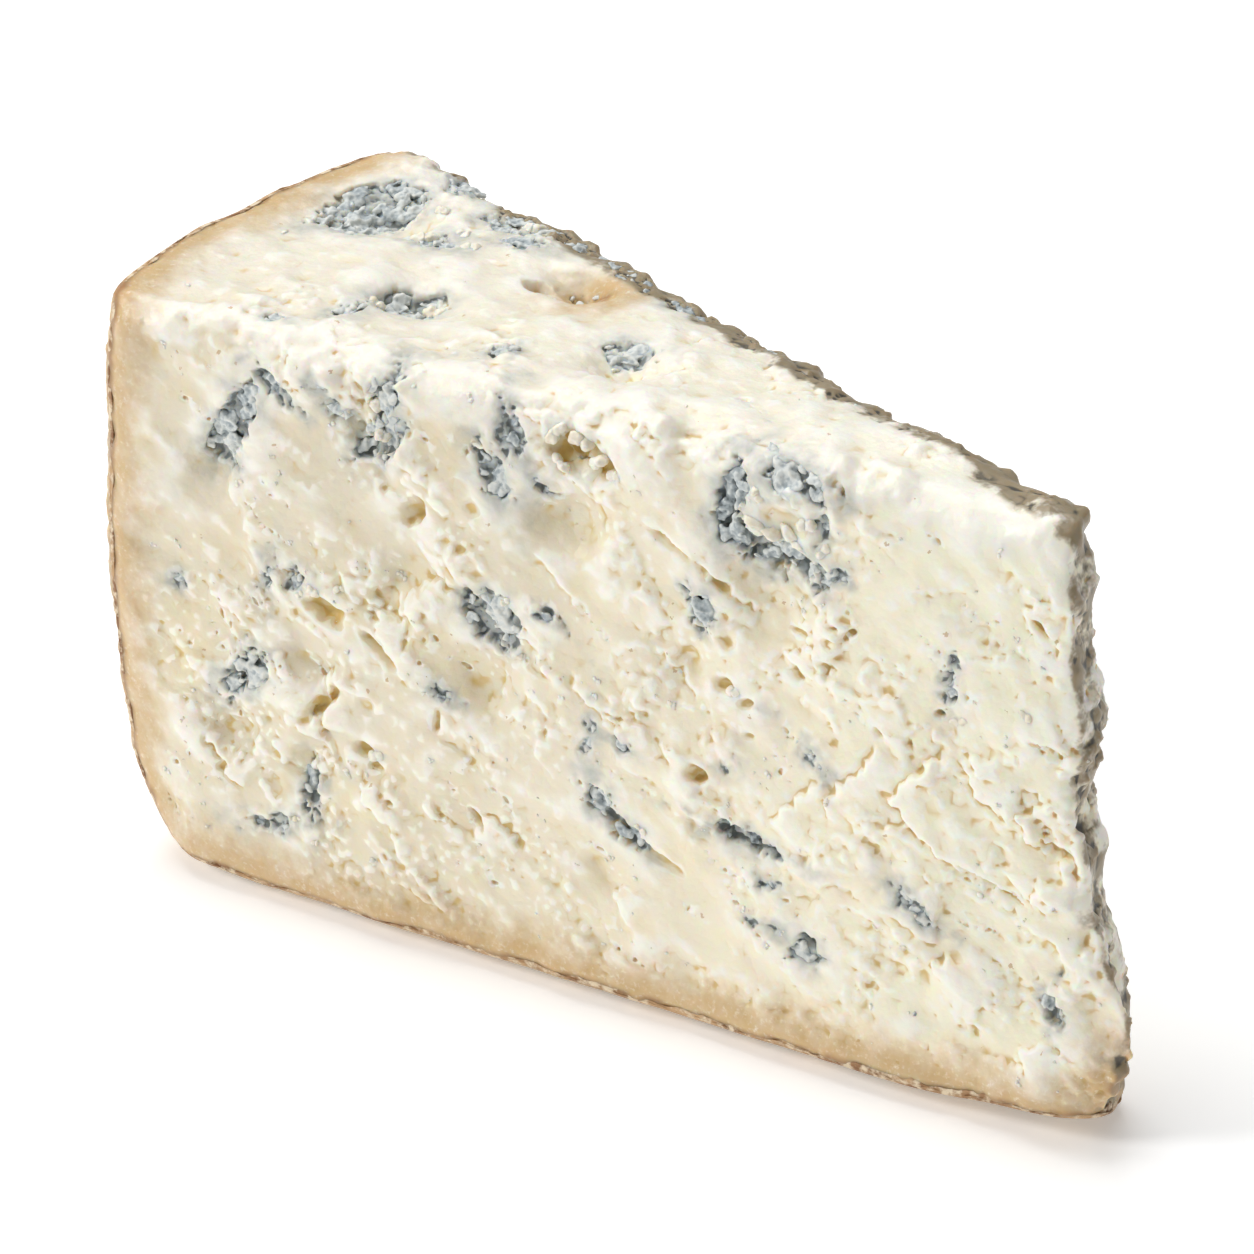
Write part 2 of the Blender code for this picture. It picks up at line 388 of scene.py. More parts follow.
def neighbour_mean(mesh: Mesh, values: Array, rounds: int) -> Array:
    """Values spread over a mesh by averaging each point with its neighbours.

    Args:
        mesh: The mesh.
        values: One row for each point.
        rounds: How many times to average.

    Returns:
        The spread values.
    """
    ends = np.empty(len(mesh.edges) * 2, dtype=np.int64)
    mesh.edges.foreach_get("vertices", ends)
    first, second = ends[0::2], ends[1::2]
    total = len(mesh.vertices)
    links = np.bincount(first, minlength=total) + np.bincount(second, minlength=total)
    links = np.maximum(links, 1)
    spread = values.reshape(total, -1).astype(float)
    for _ in range(rounds):
        mean = np.empty_like(spread)
        for column in range(spread.shape[1]):
            lane = spread[:, column]
            near = np.bincount(first, lane[second], total)
            near += np.bincount(second, lane[first], total)
            mean[:, column] = near / links
        spread = 0.5 * spread + 0.5 * mean
    return spread.reshape(values.shape)


def broad_normals(mesh: Mesh, rounds: int) -> Array:
    """A mesh's point normals, evened out by that many rounds."""
    normals = neighbour_mean(mesh, normals_of(mesh), rounds)
    return normals / np.linalg.norm(normals, axis=1)[:, None]


def nook_depth(mesh: Mesh, rounds: int) -> Array:
    """How far each point lies under its surroundings, in millimetres."""
    points = points_of(mesh)
    sunk = neighbour_mean(mesh, points, rounds) - points
    return np.einsum("ij,ij->i", sunk, normals_of(mesh)) / MM


class BallHeap:
    """Lumpy closed balls, gathered a few at a time into one mesh."""

    BATCH = 30

    def __init__(self) -> None:
        """Starts an empty heap."""
        self.form = bmesh.new()
        self.waiting = 0
        self.batches: list[Mesh] = []

    def add(self, matrix: Matrix, detail: int, rough: float, lump: float) -> None:
        """Adds a ball.

        Args:
            matrix: Takes the unit ball to its place and size.
            detail: Subdivisions of the ball.
            rough: How far its lumps stand out, as a share of its radius.
            lump: Size of the lumps in metres.
        """
        made = bmesh.ops.create_icosphere(self.form, subdivisions=detail, radius=1.0)["verts"]
        for vert in made:
            push = 1.0 + rough * noise.fractal(matrix @ vert.co / lump, 0.7, OCTAVE, 3)
            vert.co = matrix @ (vert.co * push)
        self.waiting += 1
        if self.waiting == self.BATCH:
            self.put_by()

    def put_by(self) -> None:
        """Puts the waiting balls by as a mesh of their own, which keeps the work quick."""
        batch = bpy.data.meshes.new("batch")
        self.form.to_mesh(batch)
        self.form.clear()
        self.waiting = 0
        self.batches.append(batch)

    def finish(self, name: str) -> Piece:
        """Joins all the balls into one new object."""
        self.put_by()
        for batch in self.batches:
            self.form.from_mesh(batch)
            bpy.data.meshes.remove(batch)
        return object_from(self.form, name)


# ---- What the paste is marked with ----


@dataclass(frozen=True)
class Mark:
    """Something on a side, at shares of the wedge's box. Lengths are in millimetres."""

    side: Side
    along: float
    across: float
    length: float
    width: float
    depth: float
    turn: float = 0.0

    @property
    def spot(self) -> Spot:
        """The place of the mark."""
        return Spot(self.side, self.along, self.across)

    def reach(self, local: Array) -> Array:
        """How far points are outside the mark's oval, in millimetres, and below 0 inside it.

        Args:
            local: Points in the mark's own axes, in metres.

        Returns:
            One value for each point.
        """
        across = local[:, 0] / (self.length * MM / 2)
        along = local[:, 1] / (self.width * MM / 2)
        share = np.sqrt(across**2 + along**2)
        return (share - 1.0) * min(self.length, self.width) / 2


@dataclass(frozen=True)
class Pocket(Mark):
    """A hollow where mould grows.

    Its fill is how much of it the growth takes up, pale how light that growth is, and its halo
    how far the blue spreads into the paste around it.
    """

    fill: float = 0.6
    pale: float = 0.5
    halo: float = 2.5


@dataclass(frozen=True)
class Eye(Mark):
    """A smooth scooped hollow or crack.

    Its floor sinks towards its far end by dip and towards its right hand by roll, from 0 to 1,
    and its wall is steep on the side where it is deep.
    """

    dip: float = 0.0
    roll: float = 0.0

    def bowl(self, local: Array, ragged: Array) -> Array:
        """How deep the eye is at points, as a share of its depth.

        Args:
            local: Points in the eye's own axes, in metres.
            ragged: How uneven its outline is at each point.

        Returns:
            One value for each point.
        """
        along = local[:, 0] / (self.length * MM / 2)
        across = local[:, 1] / (self.width * MM / 2)
        lean = min(1.0, math.hypot(self.dip, self.roll))
        toward = (along * self.dip - across * self.roll) / max(lean, 0.01)
        reach = np.sqrt(along**2 + across**2) + 0.11 * ragged
        wall = np.clip(0.7 - 0.5 * lean * toward, 0.22, 1.0)
        inside = smooth_step((1.0 - reach) / wall, 0.0, 1.0)
        ramp = 1.0 - lean + lean * np.clip(0.5 + 0.62 * toward, 0.0, 1.15)
        near = np.abs(local[:, 2]) < 7 * MM
        return inside * ramp * (1.0 - 0.25 * np.minimum(reach, 1.0) ** 2) * near


@dataclass(frozen=True)
class Swell(Mark):
    """A soft swelling of the skin. Its depth is its height."""


@dataclass(frozen=True)
class Tear:
    """The ragged edge of a raised flake, along a line of shares on the front.

    The flake lies to the left of the line as it is followed, or to the right where left is false.
    It fades back into the skin over its fade, and a crevice runs at its foot.
    """

    line: tuple[tuple[float, float], ...]
    height: float = 0.7
    fade: float = 6.0
    crevice: float = 0.5
    left: bool = True


def marks(kind: type[Mark], sides: tuple) -> tuple[Mark, ...]:
    """Marks of one kind, from rows of their values on each side."""
    return tuple(kind(side, *row) for side, rows in sides for row in rows)


FRONT, TOP, BACK, TIP = Side.FRONT, Side.TOP, Side.BACK, Side.TIP

POCKETS = marks(Pocket, (
    (FRONT, (
        (0.15, 0.836, 14, 5.2, 2.4, 63, 0.7, 0.5, 3),
        (0.134, 0.782, 6, 5.6, 1.6, 0, 0.9, 0.85, 2.5),
        (0.192, 0.908, 8, 2.6, 1.5, -34, 0.3, 0.4, 2), (0.302, 0.936, 7, 4.6, 1.6, 80, 0.9, 0.6, 3),
        (0.304, 0.878, 8, 5.4, 2.4, 70, 0.6, 0.6, 3.5),
        (0.279, 0.842, 4, 3, 1.6, 60, 0.8, 0.8, 2.5),
        (0.256, 0.905, 4.5, 2.4, 1, -30, 0.7, 0.5, 2.5), (0.24, 0.932, 2, 1.6, 0.8, 0, 0.7, 0.3, 2),
        (0.42, 0.93, 8, 3.4, 1.6, -70, 0.5, 0.5, 3), (0.405, 0.86, 9, 4.2, 1.5, -55, 0.8, 0.6, 3),
        (0.45, 0.85, 3.6, 1.8, 1.6, -35, 0.4, 0.3, 2.5),
        (0.629, 0.925, 9.5, 3.6, 2.4, 68, 0.7, 0.4, 3),
        (0.628, 0.868, 7, 4.2, 3.2, -75, 0.5, 0.3, 3),
        (0.65, 0.838, 9, 4.6, 3, -30, 0.55, 0.45, 2.5),
        (0.69, 0.838, 9, 4, 2.6, -22, 0.7, 0.55, 2.5), (0.72, 0.83, 5, 2.8, 1.4, 0, 0.9, 0.7, 2),
        (0.682, 0.965, 10, 4.2, 1.8, -10, 0.85, 0.65, 4),
        (0.706, 0.955, 4, 2.4, 2, -40, 0.4, 0.2, 2), (0.716, 0.905, 5, 2, 1.4, 80, 0.8, 0.6, 1.5),
        (0.603, 0.731, 6.5, 3.8, 2.6, -70, 0.7, 0.4, 1.6),
        (0.407, 0.617, 9.5, 7.5, 2.4, -40, 0.85, 0.8, 2),
        (0.461, 0.646, 3.2, 1.3, 1.2, -25, 0.5, 0.3, 1.2),
        (0.154, 0.396, 11, 4.6, 2.6, 42, 0.8, 0.68, 2.5),
        (0.088, 0.533, 3, 2, 1.2, 0, 0.6, 0.4, 1.5), (0.183, 0.576, 4, 1.2, 1.2, 78, 0.5, 0.3, 2),
        (0.212, 0.592, 3.6, 2.4, 1.8, 60, 0.5, 0.3, 1.6),
        (0.226, 0.219, 8, 2.8, 2.2, 99, 0.65, 0.5, 2),
        (0.186, 0.146, 8.5, 2, 1.8, 12, 0.55, 0.3, 2),
        (0.364, 0.463, 4.4, 2, 1.6, -12, 0.5, 0.25, 1.6),
        (0.506, 0.47, 6.5, 2, 0.8, 85, 0.6, 0.6, 2.2),
        (0.537, 0.468, 2.6, 1.4, 0.9, -20, 0.6, 0.4, 1.6),
        (0.837, 0.715, 7, 1.8, 1.3, 84, 0.5, 0.6, 2),
        (0.713, 0.532, 6, 1.6, 0.8, -30, 0.6, 0.6, 2.5),
        (0.64, 0.482, 3.2, 1.6, 0.8, 60, 0.6, 0.6, 2),
        (0.522, 0.352, 7, 2.6, 2.4, -60, 0.65, 0.6, 2),
        (0.545, 0.318, 6.5, 2.2, 2.2, -38, 0.5, 0.35, 1.6),
        (0.661, 0.359, 11, 2.5, 2.6, -12, 0.45, 0.25, 2),
        (0.687, 0.306, 3, 1.6, 1.2, -10, 0.5, 0.35, 1.5),
        (0.68, 0.231, 3, 1.2, 1, 0, 0.5, 0.3, 1.5),
        (0.719, 0.21, 5.5, 3.6, 2.2, -30, 0.75, 0.7, 1.8),
        (0.822, 0.33, 8.5, 2.4, 1.3, -36, 0.8, 0.8, 2.4),
        (0.944, 0.226, 6.4, 2.6, 2.4, -64, 0.55, 0.35, 1.5),
        (0.95, 0.282, 2.4, 1, 1.2, 50, 0.5, 0.3, 1),
    )),
    (TOP, (
        (0.173, 0.177, 3, 2.4, 2.4, 0, 0.5, 0.4, 2), (0.247, 0.391, 10, 6.4, 2.6, 38, 0.8, 0.65, 3),
        (0.222, 0.28, 5, 3, 1.6, 60, 0.7, 0.6, 2.5), (0.128, 0.717, 17, 9.5, 2.4, 51, 0.9, 0.5, 4),
        (0.205, 0.64, 10, 6, 1.8, -10, 0.8, 0.75, 3.5), (0.196, 0.86, 9, 5, 1.6, 0, 0.9, 0.5, 2.5),
        (0.265, 0.77, 12, 6, 2, -15, 0.8, 0.5, 3.5), (0.29, 0.69, 7, 4, 2.4, 10, 0.6, 0.3, 3),
        (0.33, 0.76, 12, 4, 1.4, -22, 0.9, 0.4, 3), (0.236, 0.855, 9, 4, 1.4, -24, 0.85, 0.4, 3),
        (0.4, 0.68, 11, 3.6, 1.4, -24, 0.85, 0.25, 3), (0.47, 0.608, 9, 3, 1.3, -24, 0.8, 0.2, 3),
        (0.565, 0.528, 8, 2.2, 1.2, -24, 0.7, 0.15, 2.5),
        (0.372, 0.252, 5.5, 2.8, 1.6, 45, 0.7, 0.5, 1.8),
        (0.472, 0.382, 8, 4.6, 2, 10, 0.85, 0.7, 2.2), (0.374, 0.6, 6, 2.4, 1.8, 5, 0.6, 0.4, 2.2),
    )),
    (BACK, (
        (0.16, 0.64, 13, 6, 2.6, 50, 0.75, 0.6, 3), (0.3, 0.3, 11, 4.6, 2.4, -30, 0.75, 0.6, 2.5),
        (0.42, 0.76, 10, 6.4, 2.4, 20, 0.8, 0.7, 2.5),
        (0.56, 0.46, 13, 4.6, 2.6, -40, 0.7, 0.5, 2.5), (0.74, 0.7, 9, 4.6, 2.2, 35, 0.8, 0.6, 2),
        (0.23, 0.84, 7, 2.6, 1.8, -20, 0.6, 0.4, 2), (0.34, 0.52, 6, 2.2, 1.8, 60, 0.6, 0.4, 2),
        (0.47, 0.2, 7, 3, 1.8, -15, 0.7, 0.6, 2), (0.64, 0.25, 5, 2.4, 1.6, 70, 0.7, 0.5, 1.8),
        (0.82, 0.42, 6.5, 2.2, 1.6, -35, 0.6, 0.4, 1.8),
    )),
))

EYES = marks(Eye, (
    (TOP, (
        (0.337, 0.56, 5.6, 4.6, 4.4, 0, 0.3, 0.4), (0.598, 0.297, 1.8, 1.4, 1.4),
    )),
    (FRONT, (
        (0.325, 0.764, 6.8, 4.8, 3, 48, 0, 0.9), (0.24, 0.556, 8.4, 4.8, 3.6, -27, 0.4, 0.5),
        (0.235, 0.386, 11.5, 3.4, 3, 50, 0, 0.9), (0.294, 0.512, 8.5, 2.5, 2.4, -36, 0, -0.7),
        (0.386, 0.794, 4.2, 3.6, 0.7, 0, 0.5), (0.377, 0.722, 3, 2, 0.6, 20, 0.4),
        (0.284, 0.408, 3.5, 4, 0.7, 0, 0.4), (0.278, 0.326, 4.4, 3, 2.2, -10, 0.7),
        (0.292, 0.303, 3.4, 1.7, 1.6, -15, 0.6), (0.31, 0.254, 2, 1, 1, -10),
        (0.63, 0.678, 3.7, 2.6, 1.2, -10, 0.3), (0.627, 0.608, 4.8, 3.2, 2.3, -10, 0.7),
        (0.65, 0.586, 3.2, 1.8, 1.7, 25, 0.7), (0.654, 0.535, 2.6, 1.6, 0.8, 0, 0.4),
        (0.608, 0.457, 4.6, 3.2, 2.5, -45, 0.9), (0.697, 0.716, 4.4, 1.3, 1.2, -10, 0, -0.5),
        (0.697, 0.662, 3, 1.9, 1.6, -55, 0.8), (0.746, 0.749, 1.8, 1.2, 1.2, 30),
        (0.838, 0.69, 2.2, 3.4, 2, -20, 0.7), (0.829, 0.655, 2, 1.5, 1.3),
        (0.912, 0.826, 3.8, 1.1, 1.6, -42), (0.73, 0.965, 2.6, 1.1, 1.4, -60),
        (0.575, 0.812, 7.5, 1.8, 1.6, -24, 0, -0.8), (0.614, 0.775, 6.5, 1.5, 1.5, -35, 0, -0.8),
        (0.576, 0.283, 8.5, 2.2, 1.5, -20, 0, -0.6), (0.355, 0.418, 5, 1.6, 1.5, 80, 0, 0.6),
        (0.88, 0.401, 12, 1.1, 2.2, -22, 0, -0.9), (0.483, 0.925, 14, 8, 3.8, -16, 0.2, 0.4),
        (0.678, 0.9, 9, 6, 1.1, -12), (0.776, 0.602, 2.4, 1.3, 1.6, -50),
        (0.395, 0.262, 4.2, 1.6, 1.8, -50),
    )),
    (BACK, (
        (0.25, 0.56, 6, 4, 2.2, 10, 0.5, 0.5), (0.38, 0.42, 5, 3.6, 1.8, -30, 0.6),
        (0.52, 0.68, 6.4, 3, 2, 40, 0, 0.7), (0.66, 0.5, 4, 3, 1.6, 0, 0.5),
        (0.44, 0.56, 9, 1.4, 1.8, -28, 0, 0.7), (0.7, 0.36, 8, 1.2, 1.8, -20, 0, -0.7),
        (0.85, 0.62, 3.4, 2.4, 1.4, 20, 0.5),
    )),
))

LUMPS = marks(Mark, (
    (FRONT, (
        (0.288, 0.915, 2.6, 1.8, 1.2, 20), (0.3, 0.872, 2.2, 1.6, 1, -30),
        (0.262, 0.895, 1.6, 1.1, 0.8, 10), (0.248, 0.872, 1.2, 0.9, 0.6, 10),
        (0.462, 0.945, 3.6, 1.8, 1.4, 50), (0.486, 0.938, 3.2, 1.6, 1.4, -20),
        (0.505, 0.915, 2.6, 1.6, 1.2, 30), (0.468, 0.905, 2.8, 1.3, 1.1, -30),
        (0.52, 0.9, 2.2, 1.4, 1), (0.66, 0.88, 5, 1.5, 1.2, -20),
        (0.688, 0.872, 4.6, 1.4, 1.1, -34), (0.715, 0.868, 2.4, 1.4, 1.2, 50),
        (0.7, 0.905, 2.4, 1.8, 1, 10), (0.655, 0.935, 2.2, 1.4, 1, -30),
        (0.232, 0.585, 1.9, 1.4, 1, -30), (0.258, 0.598, 1.7, 1.2, 0.9, 20),
        (0.217, 0.572, 1.5, 1, 0.8, 50), (0.292, 0.322, 2.4, 1.6, 1), (0.638, 0.6, 2, 1.3, 1, 10),
        (0.212, 0.168, 1.6, 0.9, 0.8, 20), (0.232, 0.14, 1.2, 1.4, 0.8, -20),
        (0.436, 0.56, 1.6, 1.2, 0.8), (0.42, 0.65, 1.7, 1.2, 0.8, 40),
        (0.845, 0.652, 2.8, 1.9, 1.1, -10), (0.905, 0.69, 1.8, 1.2, 0.8, -40),
        (0.556, 0.33, 1.8, 1.1, 0.8, -30),
    )),
    (TOP, (
        (0.27, 0.42, 3, 2, 1.2, 20), (0.232, 0.35, 2.2, 1.6, 1), (0.205, 0.64, 3, 2, 1.4, 10),
        (0.228, 0.69, 2.6, 2, 1.3, -20), (0.25, 0.64, 2.6, 1.8, 1.2, 30),
        (0.19, 0.76, 2.4, 1.8, 1.2), (0.28, 0.78, 2.6, 1.8, 1.2, 10),
    )),
    (BACK, (
        (0.43, 0.755, 3, 1.8, 1.2, 20), (0.17, 0.65, 2.8, 1.8, 1.2, 50),
        (0.745, 0.69, 2.2, 1.6, 1, 20),
    )),
))

TEARS = (
    Tear(((0.846, 0.617), (0.787, 0.503), (0.810, 0.465), (0.843, 0.418), (0.869, 0.404),
          (0.912, 0.388)), 0.9, 9.0, 0.6),
    Tear(((0.851, 0.599), (0.860, 0.556), (0.876, 0.528), (0.905, 0.515)), 0.8, 6.0, 0.7),
    Tear(((0.937, 0.568), (0.904, 0.526), (0.914, 0.487), (0.952, 0.483), (0.964, 0.423)),
         0.9, 6.0, 0.5),
    Tear(((0.926, 0.439), (0.923, 0.396), (0.937, 0.370)), 0.8, 5.0, 0.6),
    Tear(((0.762, 0.457), (0.803, 0.457), (0.831, 0.439)), 0.6, 7.0, 0.4, left=False),
    Tear(((0.739, 0.430), (0.729, 0.469), (0.768, 0.546), (0.776, 0.590)), 0.7, 6.0, 0.6,
         left=False),
    Tear(((0.676, 0.398), (0.697, 0.446), (0.728, 0.501)), 0.6, 6.0, 0.4, left=False),
    Tear(((0.838, 0.234), (0.848, 0.269)), 0.7, 5.0, 0.7, left=False),
    Tear(((0.112, 0.272), (0.124, 0.242), (0.141, 0.207), (0.158, 0.189)), 0.8, 4.5, 0.8),
    Tear(((0.334, 0.657), (0.359, 0.648), (0.374, 0.636)), 0.5, 5.0, 0.5, left=False),
    Tear(((0.600, 0.790), (0.625, 0.765), (0.655, 0.725)), 0.7, 8.0, 0.4),
    Tear(((0.400, 0.280), (0.425, 0.262), (0.440, 0.225)), 0.6, 5.0, 0.7, left=False),
    Tear(((0.480, 0.560), (0.500, 0.520), (0.540, 0.500)), 0.5, 6.0, 0.3),
    Tear(((0.560, 0.640), (0.585, 0.610), (0.600, 0.560)), 0.5, 6.0, 0.3),
    Tear(((0.440, 0.735), (0.475, 0.700), (0.500, 0.650)), 0.4, 6.0, 0.3),
    Tear(((0.255, 0.470), (0.245, 0.430), (0.238, 0.380), (0.236, 0.340)), 0.7, 9.0, 0.3),
)

SWELLS = marks(Swell, (
    (FRONT, (
        (0.262, 0.47, 11, 8, 0.7, -35), (0.635, 0.73, 9, 6, 0.8, -25), (0.67, 0.905, 9, 7, 0.9),
        (0.3, 0.5, 9, 6, 0.6, -30), (0.72, 0.64, 10, 7, 0.6, -30),
    )),
    (TOP, (
        (0.29, 0.12, 12, 5, 0.7), (0.47, 0.2, 10, 6, 0.8, 15), (0.76, 0.3, 16, 8, 0.8, 20),
        (0.125, 0.93, 14, 10, 1.2, 20), (0.118, 0.965, 8, 7, 2.4, 20),
    )),
    (FRONT, (
        (0.945, 0.55, 5, 5, 0.9), (0.955, 0.4, 6, 7, 0.9), (0.935, 0.49, 8, 5, -1.3, 30),
        (0.98, 0.18, 6, 5, 0.9), (0.85, 0.93, 14, 8, 0.9, -20), (0.54, 0.93, 10, 8, 1.1),
        (0.23, 0.95, 10, 5, 0.8, -20),
    )),
))


# ---- The paste ----


@dataclass(frozen=True)
class SideShares:
    """How far each point belongs to each kind of face, from 0 to 1."""

    front: Array
    back: Array
    top: Array
    tip: Array
    rind: Array
    foot: Array

    @classmethod
    def of(cls, normals: Array) -> "SideShares":
        """The shares of points with these normals.

        Args:
            normals: Outward ways, one a row.

        Returns:
            The shares.
        """
        return cls(
            front=smooth_step(-normals[:, 1], 0.35, 0.8),
            back=smooth_step(normals @ np.array(BACK_WAY), 0.45, 0.85),
            top=smooth_step(normals[:, 2], 0.35, 0.8),
            tip=smooth_step(normals[:, 0], 0.45, 0.85),
            rind=smooth_step(-normals[:, 0], 0.45, 0.75),
            foot=smooth_step(-normals[:, 2], 0.45, 0.75),
        )


@dataclass(frozen=True)
class Relief:
    """The torn, swollen skin of the cut paste and the wrinkles of the rind, in millimetres."""

    flow: float = -34.0
    swell_height: float = 0.34
    ripple_height: float = 0.21
    fine_height: float = 0.02
    knob_height: float = 2.1
    broad_step: float = 0.7
    small_step: float = 0.5
    broad_cut: float = 0.8
    small_cut: float = 0.6
    end_height: float = 0.25
    wrinkle_height: float = 0.3
    pimple_height: float = 0.05
    crest_height: float = 2.6
    edge_height: float = 2.1

    def terraces(
        self, points: Array, length: float, levels: tuple[float, ...], seed: int
    ) -> tuple[Array, Array]:
        """Torn plateaus with lobed edges, and the creases at the foot of those edges.

        Args:
            points: Places in metres, one a row.
            length: Usual width of a plateau, in millimetres.
            levels: Where one plateau steps up onto the next.
            seed: Chooses another pattern.

        Returns:
            How many plateaus up each point is, and how much it lies in a crease.
        """
        streaked = turned(points, self.flow, 1.5)
        lobes = 0.5 - cells_at(points, 1.35 * MM, seed)
        ground = fractal_at(streaked, length * MM, 2, seed) + lobes * (5.0 / length)
        stairs, crease = np.zeros((2, len(points)))
        for index, level in enumerate(levels):
            strength = smooth_step(fractal_at(points, 10 * MM, 1, seed + index + 60), -0.5, 0.9)
            stairs += strength * smooth_step(ground - level, 0.0, 0.8 / length)
            dent = np.exp(-(((ground - level + 0.5 / length) * length / 0.5) ** 2))
            crease = np.maximum(crease, dent * (0.25 + strength))
        return stairs, crease

    def paste_height(self, points: Array, shares: SideShares) -> Array:
        """How far the cut paste stands out of its smooth base.

        Args:
            points: Places in metres, one a row.
            shares: The points' faces.

        Returns:
            One height in millimetres for each point.
        """
        streaked = turned(points, self.flow, 1.8)
        height = self.swell_height * fractal_at(streaked, 13 * MM, 3, 1)
        patch = fractal_at(streaked, 17 * MM, 2, 2)
        torn = 0.2 + 0.8 * smooth_step(points[:, 0] / 0.17 + 0.8 * patch, -0.8, 0.9)
        torn *= 1.0 - 0.4 * shares.top
        broad, broad_crease = self.terraces(points, 9.0, (-0.7, 0.5), 3)
        small, small_crease = self.terraces(points, 4.2, (0.8,), 6)
        creases = self.broad_cut * broad_crease + self.small_cut * small_crease
        pitted = smooth_step(fractal_at(points, 2.2 * MM, 2, 5), 0.3, 1.2)
        height += torn * (self.broad_step * broad + self.small_step * small)
        height -= torn * (0.05 + pitted) * creases
        knobs = 0.5 - 0.5 * cells_at(points, 1.5 * MM, 10) - 0.5 * cells_at(points, 3.2 * MM, 21)
        knobby = smooth_step(fractal_at(points, 9 * MM, 2, 16), -0.4, 0.7)
        height += torn * self.knob_height * knobs * knobby
        height += (0.3 + 0.7 * torn) * self.ripple_height * fractal_at(streaked, 4.6 * MM, 2, 8)
        height += self.fine_height * fractal_at(points, 1.5 * MM, 2, 19)
        ends = np.maximum(shares.tip, 0.6 * shares.back)
        return height + ends * self.end_height * fractal_at(points, 7 * MM, 3, 9)

    def rind_height(self, points: Array) -> Array:
        """How far the rind stands out: low wrinkles with fine pimples, in millimetres."""
        squashed = points * np.array((1.0, 1.0, 1.6))
        wrinkles = 1.0 - np.abs(fractal_at(squashed, 7 * MM, 3, 11))
        pimples = fractal_at(points, 2.0 * MM, 1, 12)
        return self.wrinkle_height * wrinkles + self.pimple_height * pimples

    def crest_lumps(self, points: Array) -> Array:
        """Broken lumps along the top edge of the front, in millimetres."""
        blocks = 0.5 - cells_at(turned(points, -70.0, 1.4), 7.0 * MM, 17)
        broken = smooth_step(fractal_at(points, 14 * MM, 1, 20), -0.4, 0.7)
        return broken * (self.crest_height * blocks + 0.4 * fractal_at(points, 3.6 * MM, 2, 18))

    def edge_lumps(self, points: Array, nearness: Array) -> Array:
        """Rounded lumps along the top of the back, in millimetres.

        Args:
            points: Places in metres, one a row.
            nearness: 1 at the edge and 0 away from it.

        Returns:
            One height for each point.
        """
        lumps = 0.7 - cells_at(points * np.array((0.8, 1.0, 1.0)), 3.6 * MM, 13)
        small = 0.5 - cells_at(points, 1.5 * MM, 15)
        return nearness * (self.edge_height * lumps + 0.35 * small)


